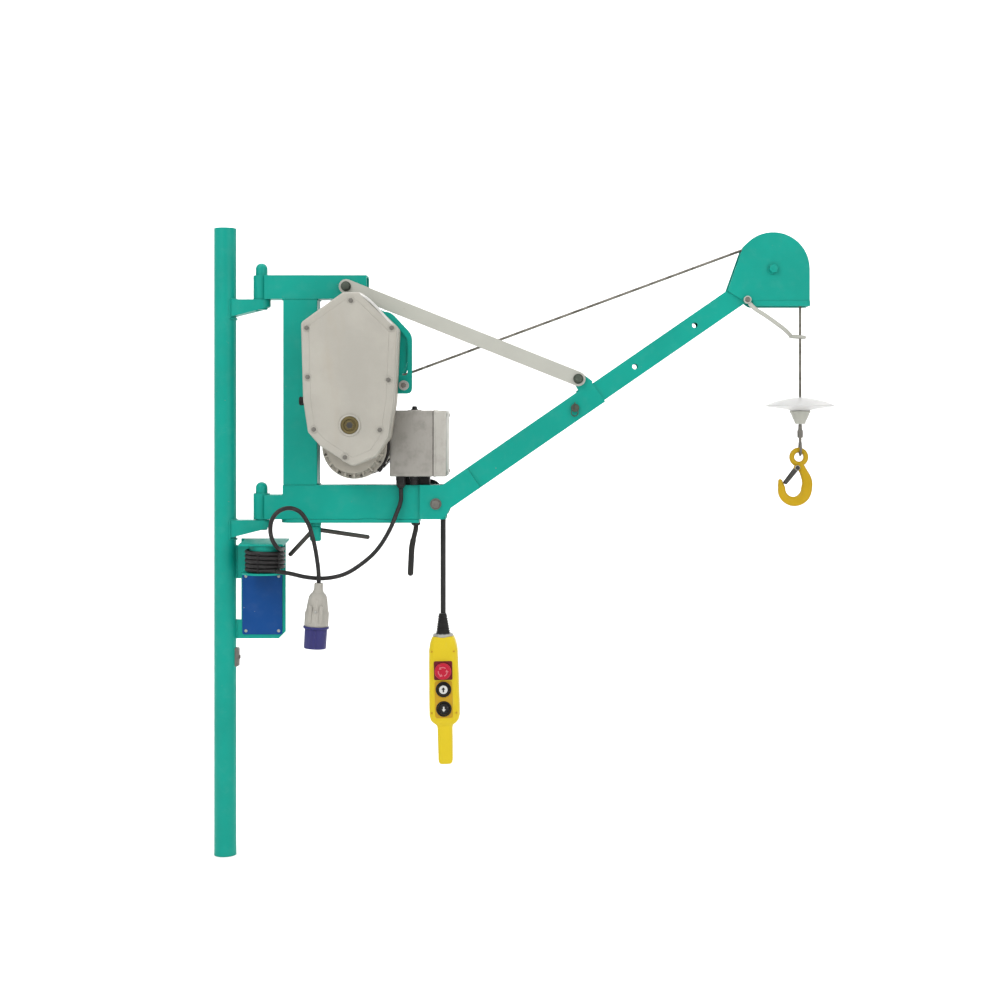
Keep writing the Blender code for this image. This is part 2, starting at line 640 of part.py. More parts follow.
# ================================================================ boom
def make_boom():
    boom = empty("boom_axis", (PIVOT_X, 0.0, PIVOT_Z), -BOOM_ANGLE)
    outer = box("boom_outer", (OUTER_START, -OUTER_HALF, -OUTER_HALF), (OUTER_END, OUTER_HALF,
                                                                        OUTER_HALF), boom)
    opening = OUTER_HALF - OUTER_WALL
    cheek = [
        (PIVOT_X - 0.035, LOWER_BEAM_Z + GAP), (PIVOT_X + 0.013, LOWER_BEAM_Z + GAP),
        (PIVOT_X + 0.0245, LOWER_BEAM_Z + 0.011), boom_point(0.018, -OUTER_HALF),
        boom_point(0.100, -OUTER_HALF), boom_point(0.100, OUTER_HALF),
        (end_top_x(), LOWER_BEAM_Z + LOWER_BEAM_HEIGHT), (PIVOT_X - 0.035, LOWER_BEAM_Z + LOWER_BEAM_HEIGHT),
    ]
    near = BEAM_HALF + GAP
    for side, name in ((-1, "front_cheek"), (1, "back_cheek")):
        low, high = sorted((side * near, side * (near + CHEEK_THICKNESS)))
        join(outer, plate(name, cheek, low, high))
    lug = rounded([(LUG_AT - 0.015, 0.0235), (LUG_AT - 0.011, LUG_HEIGHT + 0.0105),
                   (LUG_AT + 0.012, LUG_HEIGHT + 0.0105), (LUG_AT + 0.024, 0.0235)], 0.006, 4)
    join(outer, plate("brace_lug", lug, -OUTER_HALF, -OUTER_HALF + LUG_THICKNESS, frame=boom))
    cut(outer, box("boom_outer_hollow", (OUTER_START - 0.2, -opening, -opening),
                   (OUTER_END + 0.02, opening, opening), boom))
    cut(outer, bolt_hole("boom_pivot_hole", PIVOT_X, PIVOT_Z, PIVOT_BOLT_RADIUS))
    brace_x, brace_z = boom_point(LUG_AT, LUG_HEIGHT)
    cut(outer, bolt_hole("brace_lug_hole", brace_x, brace_z, BRACE_BOLT_RADIUS))
    cut(outer, rod("boom_pin_hole", (LOCK_HOLE_AT, -0.05, 0), (LOCK_HOLE_AT, 0.0, 0), LOCK_PIN_RADIUS + RUN,
                   boom, 16))
    paint(outer, "green")

    outside = near + CHEEK_THICKNESS
    pivot = bolt("boom_pivot_bolt", PIVOT_X, PIVOT_Z, -outside, outside + GAP + BOLT_HEAD,
                 PIVOT_BOLT_RADIUS, 0.016)
    paint(pivot, "steel")

    pin_front = -OUTER_HALF - GAP
    pin = rod("boom_lock_pin", (LOCK_HOLE_AT, pin_front - 0.004, 0), (LOCK_HOLE_AT, -INNER_HALF - RUN, 0),
              LOCK_PIN_RADIUS, boom, 16)
    join(pin, rod("boom_lock_pin_head", (LOCK_HOLE_AT, pin_front - 0.006, 0), (LOCK_HOLE_AT, pin_front, 0),
                  0.009, boom, 16))
    paint(pin, "dark_steel")

    wall = INNER_HALF - INNER_WALL
    inner = box("boom_inner", (INNER_START, -INNER_HALF, -INNER_HALF),
                (INNER_END, INNER_HALF, INNER_HALF), boom)
    cut(inner, box("boom_inner_hollow", (INNER_START - 0.02, -wall, -wall),
                   (INNER_END + 0.02, wall, wall), boom))
    for i in range(3):
        at = LOCK_HOLE_AT + i * LOCK_HOLE_STEP
        cut(inner, rod("boom_hole_%d" % i, (at, -0.05, 0), (at, 0.05, 0), LOCK_PIN_RADIUS + RUN, boom, 16))
    paint(inner, "green")


def end_top_x():
    """Where the outer boom's upper face meets the top of the lower beam."""
    height = LOWER_BEAM_Z + LOWER_BEAM_HEIGHT
    along = (height - PIVOT_Z - OUTER_HALF * math.cos(BOOM_ANGLE)) / math.sin(BOOM_ANGLE)
    return boom_point(along, OUTER_HALF)[0]


def make_brace():
    foot = boom_point(LUG_AT, LUG_HEIGHT)
    back = -OUTER_HALF - GAP
    front = back - BRACE_THICKNESS
    bar = plate("brace_bar", capsule((BRACE_TOP_X, BRACE_TOP_Z), foot, BRACE_HALF, 9), front, back)
    cut(bar, bolt_hole("brace_hole_top", BRACE_TOP_X, BRACE_TOP_Z, BRACE_BOLT_RADIUS))
    cut(bar, bolt_hole("brace_hole_foot", foot[0], foot[1], BRACE_BOLT_RADIUS))
    paint(bar, "grey_paint")
    upper_back = BEAM_HALF + GAP + BOLT_HEAD
    paint(bolt("brace_upper_bolt", BRACE_TOP_X, BRACE_TOP_Z, front, upper_back, BRACE_BOLT_RADIUS,
               0.0125), "steel")
    lower_back = -OUTER_HALF + LUG_THICKNESS + GAP + BOLT_HEAD
    paint(bolt("brace_lower_bolt", foot[0], foot[1], front, lower_back, BRACE_BOLT_RADIUS, 0.0125), "steel")


def make_head():
    """Pulley housing: two cheeks and a rim, open below and where the rope comes in."""
    inner_half = INNER_HALF + HEAD_CLEARANCE
    outer_half = inner_half + HEAD_WALL
    centre = (PULLEY_X, PULLEY_Z)
    outline = arc(centre, HEAD_RADIUS, 147, 0, 20)
    outline += [(PULLEY_X + HEAD_RADIUS, HEAD_BOTTOM), (1.152, HEAD_BOTTOM),
                boom_point(INNER_END - 0.008, -INNER_HALF), boom_point(INNER_END - 0.027, INNER_HALF - 0.001)]
    head = plate("head_housing", outline, -outer_half, outer_half)
    inside = arc(centre, HEAD_RADIUS - HEAD_WALL, 0, 135, 17)
    inside += [(PULLEY_X + 0.100 * math.cos(math.radians(135)),
                PULLEY_Z + 0.100 * math.sin(math.radians(135))),
               (PULLEY_X - 0.130, PULLEY_Z + 0.080), (PULLEY_X - 0.130, HEAD_BOTTOM - 0.030),
               (PULLEY_X + HEAD_RADIUS - HEAD_WALL, HEAD_BOTTOM - 0.030)]
    cut(head, plate("head_inside", inside, -inner_half, inner_half))
    for side, name in ((-1, "head_front_lip"), (1, "head_back_lip")):
        low, high = sorted((side * (outer_half - 0.001), side * (outer_half + 0.002)))
        lip_end = PULLEY_X + HEAD_RADIUS + HEAD_LIP
        join(head, box(name, (1.156, low, HEAD_BOTTOM - HEAD_LIP), (lip_end, high, HEAD_BOTTOM + 0.011)))
    cut(head, bolt_hole("head_axle_hole", PULLEY_X, PULLEY_Z, PULLEY_AXLE_RADIUS))
    paint(head, "green")

    axle = bolt("pulley_axle", PULLEY_X, PULLEY_Z, -outer_half, outer_half + GAP + BOLT_HEAD,
                PULLEY_AXLE_RADIUS, 0.014)
    paint(axle, "green")

    groove = PULLEY_PITCH - ROPE_RADIUS - GAP
    bore = PULLEY_AXLE_RADIUS + RUN
    hub = inner_half - 0.004
    wheel = turned("rope_pulley", [
        (bore, hub), (0.018, hub), (groove - 0.010, 0.004), (PULLEY_RIM, PULLEY_HALF),
        (groove, 0.0040), (groove, -0.0040), (PULLEY_RIM, -PULLEY_HALF), (groove - 0.010, -0.004),
        (0.018, -hub), (bore, -hub),
    ], (PULLEY_X, 0, PULLEY_Z), "Y", 28, ring=True)
    paint(wheel, "dark_steel")

    make_lever(outer_half)


def make_lever(outer_half):
    """Overwind lever: a rod from a pivot on the head's front cheek to a loop round the rope."""
    pivot = (1.1440, 1.2170)
    loop_z = 1.1370
    eye = 0.010
    front = -outer_half - GAP - eye
    route = [(pivot[0] + 0.004, front + 0.0045, pivot[1] - 0.003), (1.1560, front + 0.0030, 1.2020),
             (1.1850, front + 0.0030, 1.1790), (1.2100, -0.0270, 1.1600), (1.2300, -0.0180, 1.1480),
             (1.2440, -0.0080, 1.1400), (1.2500, 0.0, 1.1375)]
    arm = fixed_mesh(tube("limit_lever", smooth_route(route, 0.013), 0.0045, 1))
    join(arm, rod("lever_eye", (pivot[0], front, pivot[1]), (pivot[0], front + eye, pivot[1]), eye, sides=18))
    loop = turned("lever_loop", [(0.0155 + 0.0035 * math.cos(a), -0.0035 * math.sin(a))
                                 for a in np.radians(range(-180, 180, 60))],
                  (HOOK_X - 0.002, 0, loop_z), "Z", 16, ring=True)
    join(arm, loop)
    paint(arm, "grey_paint")


# ================================================================ rope, drum and hook
def rope_tangents():
    """Points where the straight rope leaves the drum's underside and meets the pulley's top."""
    wound = WINDING_RADIUS + ROPE_RADIUS + GAP
    across = PULLEY_X - DRUM_X
    rise = PULLEY_Z - DRUM_Z
    reach = math.hypot(across, rise)
    slope = math.atan2(rise, across) + math.asin((wound + PULLEY_PITCH) / reach)
    low = (DRUM_X + wound * math.sin(slope), DRUM_Z - wound * math.cos(slope))
    high = (PULLEY_X - PULLEY_PITCH * math.sin(slope), PULLEY_Z + PULLEY_PITCH * math.cos(slope))
    return slope, low, high


def make_rope():
    slope, low, high = rope_tangents()
    points = [(low[0] + (high[0] - low[0]) * t, 0.0, low[1] + (high[1] - low[1]) * t)
              for t in np.linspace(0, 1, 5)]
    top = 90 + math.degrees(slope)
    points += [(x, 0.0, z) for x, z in arc((PULLEY_X, PULLEY_Z), PULLEY_PITCH, top, 0, 13)[1:]]
    paint(tube("rope_run", points, ROPE_RADIUS, 2), "dark_steel")
    fall = tube("rope_fall", [(HOOK_X, 0, PULLEY_Z - GAP), (HOOK_X, 0, 1.10), (HOOK_X, 0, CONE_BOTTOM - GAP)],
                ROPE_RADIUS, 2)
    paint(fall, "dark_steel")


def make_drum():
    shaft = DRUM_SHAFT_RADIUS
    far = DRUM_BACK + 0.018
    near = LAYER_DRUM[0] - 0.003
    front = DRUM_FRONT + DRUM_FLANGE_THICKNESS
    back = DRUM_BACK - DRUM_FLANGE_THICKNESS
    drum = turned("rope_drum", [
        (0.0, far), (shaft, far), (shaft, DRUM_BACK), (DRUM_FLANGE, DRUM_BACK), (DRUM_FLANGE, back),
        (DRUM_CORE, back), (DRUM_CORE, front), (DRUM_FLANGE, front), (DRUM_FLANGE, DRUM_FRONT),
        (shaft, DRUM_FRONT), (shaft, near), (0.0, near),
    ], (DRUM_X, 0, DRUM_Z), "Y", 32)
    paint(drum, "green")

    core = DRUM_CORE + GAP
    left = front + GAP
    right = back - GAP
    winding = turned("rope_winding", [
        (core, right), (WINDING_RADIUS, right), (WINDING_RADIUS, left), (core, left),
    ], (DRUM_X, 0, DRUM_Z), "Y", 32, ring=True)
    paint(winding, "dark_steel")

    bearing = DRUM_SHAFT_RADIUS + RUN
    plate_front = BEAM_HALF + GAP
    rear = plate("drum_bearing_plate", rounded([
        (COLUMN_X, 1.045), (COLUMN_X + COLUMN_WIDTH, 1.045), (DRUM_X + 0.030, 1.075), (DRUM_X + 0.030, 1.135),
        (COLUMN_X + COLUMN_WIDTH, 1.165), (COLUMN_X,
                                           1.165)], 0.008, 4), plate_front, plate_front + PLATE_THICKNESS)
    cut(rear, rod("drum_plate_bore", (DRUM_X, 0, DRUM_Z), (DRUM_X, 0.08, DRUM_Z), bearing, sides=24))
    paint(rear, "green")

    guard_front = CASE_BACK + GAP
    guard = plate("rope_guard", rounded([
        (0.345, 1.012), (0.415, 1.012), (0.415, 1.140), (0.368, 1.190), (0.345, 1.190)], 0.012, 4),
        guard_front, guard_front + 0.003)
    cut(guard, plate("guard_window", rounded([(0.385, 1.052), (0.405, 1.052), (0.405, 1.130), (0.385, 1.155)],
                                             0.006, 4), guard_front - 0.02, guard_front + 0.02))
    paint(guard, "green")


def make_hook_block():
    bore = ROPE_RADIUS + GAP
    disc = turned("limit_disc", [
        (bore, DISC_TOP), (0.025, DISC_TOP - 0.002), (DISC_RADIUS, DISC_TOP - 0.0160),
        (DISC_RADIUS, DISC_TOP - 0.0190), (0.023, DISC_BOTTOM), (bore, DISC_BOTTOM),
    ], (HOOK_X, 0, 0), sides=32, ring=True)
    paint(disc, "white")
    top = DISC_BOTTOM - GAP
    cone = turned("ballast_cone", [
        (bore, top), (0.023, top), (0.023, top - 0.004), (0.0107, CONE_BOTTOM), (bore, CONE_BOTTOM),
    ], (HOOK_X, 0, 0), sides=24, ring=True)
    paint(cone, "grey_paint")

    ferrule_top = CONE_BOTTOM - GAP - GAP
    loop = turned("rope_eye", [(LOOP_RADIUS + LOOP_WIRE * math.cos(a), -LOOP_WIRE * math.sin(a))
                               for a in np.radians(range(-180, 180, 60))],
                  (HOOK_X, 0, LOOP_Z), "X", 18, ring=True)
    ferrule = rod("rope_ferrule", (HOOK_X, 0, LOOP_Z + LOOP_RADIUS - 0.0017), (HOOK_X, 0, ferrule_top),
                  FERRULE_RADIUS, sides=14)
    join(loop, ferrule)
    paint(loop, "steel")


def hook_outline():
    """Outline of the hook's body: a spine round the bowl, widened by a half width at each angle."""
    angles = [76, 58, 40, 0, -45, -90, -135, -180, -200, -215]
    reach = [0.0450, 0.0390, 0.0356, 0.0285, 0.0295, 0.0300, 0.0280, 0.0253, 0.0295, 0.0350]
    half = [0.0075, 0.0090, 0.0105, 0.0115, 0.0115, 0.0100, 0.0090, 0.0080, 0.0055, 0.0030]
    turn = np.linspace(76, -215, 30)
    order = np.argsort(angles)
    keys = np.array(angles)[order]
    radius = np.interp(turn, keys, np.array(reach)[order])
    width = np.interp(turn, keys, np.array(half)[order])
    spine = np.c_[BOWL_X + radius * np.cos(np.radians(turn)), BOWL_Z + radius * np.sin(np.radians(turn))]
    tangent = np.gradient(spine, axis=0)
    tangent /= np.linalg.norm(tangent, axis=1)[:, None]
    normal = np.c_[tangent[:, 1], -tangent[:, 0]]
    left = spine - normal * width[:, None]
    right = spine + normal * width[:, None]
    tip = spine[-1:] + tangent[-1:] * width[-1]
    return [tuple(p) for p in np.r_[left, tip, right[::-1]]]


def make_hook():
    swivel = empty("hook_axis", (HOOK_X, 0.0, LOOP_Z - LOOP_RADIUS))
    hook = plate("load_hook", hook_outline(), -HOOK_HALF, HOOK_HALF)
    hook.parent = swivel
    hook.location.x = -swivel.location.x
    hook.location.z = -swivel.location.z
    join(hook, rod("hook_eye", (EYE_X, -EYE_HALF, EYE_Z), (EYE_X, EYE_HALF, EYE_Z), EYE_RADIUS, sides=28))
    cut(hook, rod("hook_eye_hole", (EYE_X, -0.03, EYE_Z), (EYE_X, 0.03, EYE_Z), EYE_HOLE, sides=24))
    paint(hook, "hook_yellow")

    pivot = (1.2570, 0.8500)
    toe = (1.2315, 0.8175)
    latch = plate("hook_latch", capsule(toe, pivot, 0.0040, 6), -HOOK_HALF - 0.0025, HOOK_HALF + 0.0025)
    clear = HOOK_HALF + RUN
    cut(latch, box("latch_fork", (1.2440, -clear, 0.80), (1.30, clear, 0.90)))
    paint(latch, "dark_steel")


# ================================================================ gears and motor
def gear_outline(module, teeth):
    """Straight-flanked teeth whose corners lie on the involute, thinned for backlash."""
    pitch = module * teeth / 2
    tip = pitch + 0.9 * module
    root = pitch - 1.15 * module
    base = pitch * math.cos(PRESSURE_ANGLE)
    lean = math.tan(PRESSURE_ANGLE) - PRESSURE_ANGLE
    half_pitch = math.pi / (2 * teeth) - TOOTH_THINNING / (2 * pitch)

    def half_angle(radius):
        flank = math.acos(min(base / radius, 1.0))
        return half_pitch + lean - (math.tan(flank) - flank)

    low = half_angle(max(root, base))
    high = half_angle(tip)
    outline = []
    for i in range(teeth):
        middle = 2 * math.pi * i / teeth
        for radius, angle in ((root, -low), (tip, -high), (tip, high), (root, low)):
            outline.append((radius * math.cos(middle + angle), radius * math.sin(middle + angle)))
    return outline


def gear(name, module, teeth, centre, layer, phase):
    """A gear in the XZ plane; phase is the angle of one tooth's middle, from +X towards +Z."""
    c = math.cos(phase)
    s = math.sin(phase)
    outline = [(centre[0] + x * c - z * s, centre[1] + x * s + z * c) for x, z in gear_outline(module, teeth)]
    return plate(name, outline, layer[0], layer[1])


def centre_distance(stage):
    module, teeth = stage
    return module * (teeth + PINION_TEETH) / 2


def mesh_phase(pinion_phase, line, teeth):
    """Phase of a wheel whose tooth space meets the pinion tooth that lies nearest the line of centres."""
    pinion_step = 2 * math.pi / PINION_TEETH
    offset = (line - pinion_phase) / pinion_step
    offset -= round(offset)
    wheel_step = 2 * math.pi / teeth
    return line + math.pi + (0.5 + offset) * wheel_step


def gear_layout():
    """Centres of the motor shaft and the two intermediate shafts."""
    first = (HUB_X, HUB_Z)
    motor = (HUB_X + 0.0016, HUB_Z - math.sqrt(centre_distance(MOTOR_STAGE) ** 2 - 0.0016 ** 2))
    across = DRUM_X - HUB_X
    rise = DRUM_Z - HUB_Z
    span = math.hypot(across, rise)
    r1 = centre_distance(MIDDLE_STAGE)
    r2 = centre_distance(DRUM_STAGE)
    along = (r1 ** 2 - r2 ** 2 + span ** 2) / (2 * span)
    aside = math.sqrt(max(r1 ** 2 - along ** 2, 0.0))
    second = (HUB_X + (along * across - aside * rise) / span, HUB_Z + (along * rise + aside * across) / span)
    return motor, first, second


def line_angle(start, end):
    return math.atan2(end[1] - start[1], end[0] - start[0])


def make_gears():
    motor, first, second = gear_layout()
    drum = (DRUM_X, DRUM_Z)
    shaft_back = CASE_BACK - 0.0035
    shaft_front = COVER_FRONT + 0.0035

    rotor = gear("motor_rotor", MOTOR_STAGE[0], PINION_TEETH, motor, LAYER_MOTOR, 0.0)
    rear = (motor[0], MOTOR_BACK + 0.030, motor[1])
    front = (motor[0], shaft_front, motor[1])
    join(rotor, rod("rotor_shaft", rear, front, 0.0070, sides=16))
    core_front = (motor[0], 0.000, motor[1])
    core_back = (motor[0], 0.075, motor[1])
    join(rotor, rod("rotor_core", core_front, core_back, ROTOR_RADIUS, sides=28))
    paint(rotor, "steel")

    first_phase = mesh_phase(0.0, line_angle(motor, first), MOTOR_STAGE[1])
    wheel = gear("first_gear", *MOTOR_STAGE, first, LAYER_MOTOR, first_phase)
    join(wheel, gear("first_pinion", MIDDLE_STAGE[0], PINION_TEETH, first, LAYER_MIDDLE, 0.0))
    join(wheel, rod("first_shaft", (first[0], shaft_back, first[1]), (first[0], shaft_front, first[1]),
                    GEAR_SHAFT_RADIUS, sides=16))
    paint(wheel, "steel")

    second_phase = mesh_phase(0.0, line_angle(first, second), MIDDLE_STAGE[1])
    wheel = gear("second_gear", *MIDDLE_STAGE, second, LAYER_MIDDLE, second_phase)
    join(wheel, gear("second_pinion", DRUM_STAGE[0], PINION_TEETH, second, LAYER_DRUM, 0.0))
    join(wheel, rod("second_shaft", (second[0], shaft_back, second[1]), (second[0], shaft_front, second[1]),
                    GEAR_SHAFT_RADIUS, sides=16))
    paint(wheel, "steel")

    drum_phase = mesh_phase(0.0, line_angle(second, drum), DRUM_STAGE[1])
    wheel = gear("drum_gear", *DRUM_STAGE, drum, LAYER_DRUM, drum_phase)
    cut(wheel, rod("drum_gear_bore", (drum[0], 0, drum[1]), (drum[0], -0.1, drum[1]), DRUM_SHAFT_RADIUS + GAP,
                   sides=24))
    paint(wheel, "steel")


def case_outline(inset):
    """Outline of the gear case, the same on both halves, moved inwards by `inset`."""
    corners = [(0.275, 1.226), (0.311, 1.226), (0.390, 1.150), (0.3835, 0.997), (0.371, 0.917),
               (0.345, 0.878), (0.294, 0.857), (0.2266, 0.900), (0.201, 0.929), (0.1906, 0.997), (0.186,
                                                                                                  1.162)]
    outline = []
    for i, corner in enumerate(corners):
        here = Vector(corner)
        before = (here - Vector(corners[i - 1])).normalized()
        after = (Vector(corners[(i + 1) % len(corners)]) - here).normalized()
        inward = Vector((before.y + after.y, -before.x - after.x)).normalized()
        point = here + inward * inset / math.sqrt((1 + before.dot(after)) / 2)
        outline.append((point.x, point.y))
    return outline


def make_case():
    motor, first, second = gear_layout()
    case = plate("gear_case", rounded(case_outline(0.0), 0.008, 4), CASE_JOINT + GAP, CASE_BACK)
    join(case, rod("case_lobe", (motor[0], LOBE_FRONT, motor[1]), (motor[0], CASE_BACK, motor[1]),
                   LOBE_RADIUS,
                   sides=32))
    foot_x = COLUMN_X + COLUMN_WIDTH
    join(case, box("case_foot", (0.1925, CASE_BACK - 0.004, 0.960), (foot_x, -BEAM_HALF - GAP, 1.150)))
    cut(case, plate("case_inside", case_outline(CASE_WALL), CASE_JOINT - 0.02, CASE_BACK - CASE_WALL))
    cut(case, rod("case_drum_bore", (DRUM_X, 0, DRUM_Z), (DRUM_X, -0.07, DRUM_Z), DRUM_SHAFT_RADIUS + RUN,
                  sides=24))
    cut(case, rod("case_motor_bore", (motor[0], 0, motor[1]), (motor[0], -0.08, motor[1]), 0.0075, sides=16))
    paint(case, "casting")

    cover = plate("gear_cover", rounded(case_outline(0.0), 0.008, 4), COVER_FRONT, CASE_JOINT - GAP)
    cut(cover, plate("cover_inside", case_outline(CASE_WALL), COVER_FRONT + CASE_WALL, CASE_JOINT + 0.02))
    for i, (x, z) in enumerate((motor, first, second)):
        boss_back = LAYER_MOTOR[0] - 0.002
        boss = rod("cover_boss_%d" % i, (x, COVER_FRONT + 0.002, z), (x, boss_back, z), 0.012, sides=20)
        join(cover, boss)
    for i, (x, z) in enumerate((motor, first, second)):
        cut(cover, rod("cover_bore_%d" % i, (x, COVER_FRONT + 0.003, z), (x, CASE_JOINT + 0.02, z),
                       GEAR_SHAFT_RADIUS + RUN, sides=16))
    for i, (x, z) in enumerate((first, second)):
        cut(case, rod("case_bore_%d" % i, (x, CASE_BACK - 0.003, z), (x, CASE_JOINT - 0.02, z),
                      GEAR_SHAFT_RADIUS + RUN, sides=16))
    paint(cover, "casting")


def make_motor():
    motor = gear_layout()[0]
    front = CASE_BACK + GAP
    flange = front + 0.012
    body = MOTOR_RADIUS - MOTOR_FLANGE_STEP
    bore = GEAR_SHAFT_RADIUS + RUN
    housing = turned("motor_housing", [
        (MOTOR_BORE, MOTOR_BACK), (body, MOTOR_BACK), (body, flange), (MOTOR_RADIUS, flange),
        (MOTOR_RADIUS, front), (bore, front), (bore, flange), (MOTOR_BORE, flange),
    ], (motor[0], 0, motor[1]), "Y", 32, ring=True)
    paint(housing, "casting")
    wall = 0.002
    cowl = turned("fan_cowl", [
        (0.0, COWL_BACK), (MOTOR_RADIUS - 0.008, COWL_BACK), (MOTOR_RADIUS, COWL_BACK - 0.008),
        (MOTOR_RADIUS, MOTOR_BACK + GAP), (MOTOR_RADIUS - wall, MOTOR_BACK + GAP),
        (MOTOR_RADIUS - wall, COWL_BACK - 0.009), (MOTOR_RADIUS - 0.009, COWL_BACK - wall),
        (0.0, COWL_BACK - wall),
    ], (motor[0], 0, motor[1]), "Y", 36)
    paint(cowl, "black")


# ================================================================ electric box and pendant
def make_box():
    body = box("electric_box", (BOX_X, BOX_FRONT, BOX_Z), (BOX_SEAM - GAP, BOX_BACK, BOX_TOP))
    cut(body, box("electric_box_inside", (BOX_X + BOX_WALL, BOX_FRONT + BOX_WALL, BOX_Z + BOX_WALL),
                  (BOX_SEAM + 0.02, BOX_BACK - BOX_WALL, BOX_TOP - BOX_WALL)))
    foot_low = LOWER_BEAM_Z + LOWER_BEAM_HEIGHT + GAP
    join(body, box("box_foot", (0.395, -0.015, foot_low), (0.450, 0.020, BOX_Z + 0.001)))
    paint(body, "casting")

    lid = box("box_lid", (BOX_SEAM, BOX_FRONT, BOX_Z), (BOX_END, BOX_BACK, BOX_TOP))
    edge = lid.modifiers.new("soft_edges", "BEVEL")
    edge.width = 0.004
    edge.segments = 2
    cut(lid, box("box_lid_inside", (BOX_SEAM - 0.02, BOX_FRONT + BOX_WALL, BOX_Z + BOX_WALL),
                 (BOX_END - BOX_WALL, BOX_BACK - BOX_WALL, BOX_TOP - BOX_WALL)))
    paint(lid, "casting")

    top = BOX_Z - GAP
    gland = turned("cord_gland", [
        (0.0, top), (0.0100, top), (0.0100, top - 0.010), (0.0085, top - 0.013), (0.0065, GLAND_BOTTOM),
        (0.0, GLAND_BOTTOM),
    ], (GLAND_X, GLAND_Y, 0), sides=20)
    paint(gland, "black")
    lead = rod("lead_gland", (LEAD_GLAND_X, PENDANT_Y, 0.8085), (LEAD_GLAND_X, PENDANT_Y, top), 0.0115,
               sides=20)
    elbow_end = LEAD_ROUTE[0][0] - 2 * GAP
    join(lead, rod("lead_elbow", (LEAD_GLAND_X, PENDANT_Y, LEAD_ROUTE[0][2]),
                   (elbow_end, PENDANT_Y, LEAD_ROUTE[0][2]), 0.0080, sides=16))
    paint(lead, "black")


def make_pendant():
    paint(tube("pendant_lead", smooth_route(LEAD_ROUTE, 0.014), PENDANT_CABLE_RADIUS, 2), "black")
    swing = empty("pendant_axis", (PENDANT_X, PENDANT_Y, PENDANT_PIVOT_Z))
    top = -CABLE_BEND
    bottom = BOOT_TOP + GAP - PENDANT_PIVOT_Z
    cable = tube("pendant_cable", [(0, 0, top + (bottom - top) * t) for t in np.linspace(0, 1, 9)],
                 PENDANT_CABLE_RADIUS, 2, swing)
    paint(cable, "black")

    # the case hangs below the boot, in a frame of its own at the boot's lower end
    body = empty("pendant_case_axis", (0, 0, BOOT_BOTTOM - PENDANT_PIVOT_Z), -PENDANT_TILT, swing)
    outline = rounded([
        (-0.0235, -0.004), (0.0235, -0.004), (0.0322, -0.034), (0.0335, -0.135), (0.0340, -0.178),
        (0.024, -0.200), (-0.024, -0.200), (-0.0340, -0.178), (-0.0335, -0.135), (-0.0322, -0.034)], 0.008, 4)
    case = plate("pendant_case", outline, -PENDANT_HALF_DEPTH, PENDANT_HALF_DEPTH, frame=body)
    handle = rounded([(-0.0165, -0.190), (0.0165, -0.190), (0.0165, -0.289), (-0.0165, -0.289)], 0.006, 4)
    join(case, plate("pendant_handle", handle, -HANDLE_HALF_DEPTH, HANDLE_HALF_DEPTH, frame=body))
    boot = turned("pendant_boot", [
        (0.0, BOOT_TOP - BOOT_BOTTOM), (0.0075, BOOT_TOP - BOOT_BOTTOM), (0.0137, 0.004), (0.0235, 0.001),
        (0.0235, -0.006), (0.0, -0.006)], (0, 0, 0), sides=24, frame=body)
    join(case, boot)
    face = -PENDANT_HALF_DEPTH
    for name, below, radius in (("estop", ESTOP_BELOW, 0.0100), ("up", UP_BELOW, BUTTON_RADIUS),
                                ("down", DOWN_BELOW, BUTTON_RADIUS)):
        cut(case, rod(name + "_pocket", (0, face - 0.02, -below), (0, face + BUTTON_POCKET, -below),
                      radius + RUN, body, 20))
    paint(case, "yellow")

    stem_end = face + BUTTON_POCKET - 0.0055
    estop = rod("emergency_stop", (0, face - 0.0060, -ESTOP_BELOW), (0, stem_end, -ESTOP_BELOW), 0.0100,
                body, 20)
    join(estop, rod("estop_head", (0, face - 0.0150, -ESTOP_BELOW), (0, face - 0.0055, -ESTOP_BELOW), 0.0185,
                    body, 28))
    paint(estop, "red")
    for name, below, finish in (("up_button", UP_BELOW, "white"), ("down_button", DOWN_BELOW, "black")):
        button = rod(name, (0, face - 0.0055, -below), (0, stem_end, -below), BUTTON_RADIUS, body, 24)
        paint(button, finish)


# ================================================================ supply cord
def make_cord():
    paint(tube("supply_cord", smooth_route(CORD_ROUTE, 0.016), CORD_RADIUS, 2), "black")
    high = COIL_BOTTOM + COIL_TURNS * COIL_PITCH
    outer = COIL_MEAN + CORD_RADIUS
    inner = COIL_MEAN - CORD_RADIUS
    coil = turned("cord_coil", [(inner, high), (outer, high), (outer, COIL_BOTTOM), (inner, COIL_BOTTOM)],
                  (COIL_X, COIL_Y, 0), sides=32, ring=True)
    paint(coil, "black")
    paint(tube("cord_tail", smooth_route(TAIL_ROUTE, 0.014), CORD_RADIUS, 2), "black")

    plug = turned("cord_plug", [
        (0.0, 0.0), (0.0085, 0.0), (0.0130, -0.020), (0.0200, -0.030), (PLUG_RADIUS, -0.055),
        (PLUG_RADIUS, -0.095), (0.0240, -0.097), (0.0240, -PLUG_LENGTH), (0.0, -PLUG_LENGTH),
    ], PLUG_TOP, sides=28)
    plug.rotation_euler = (0.0, PLUG_TILT, 0.0)
    paint(plug, "plug_grey")


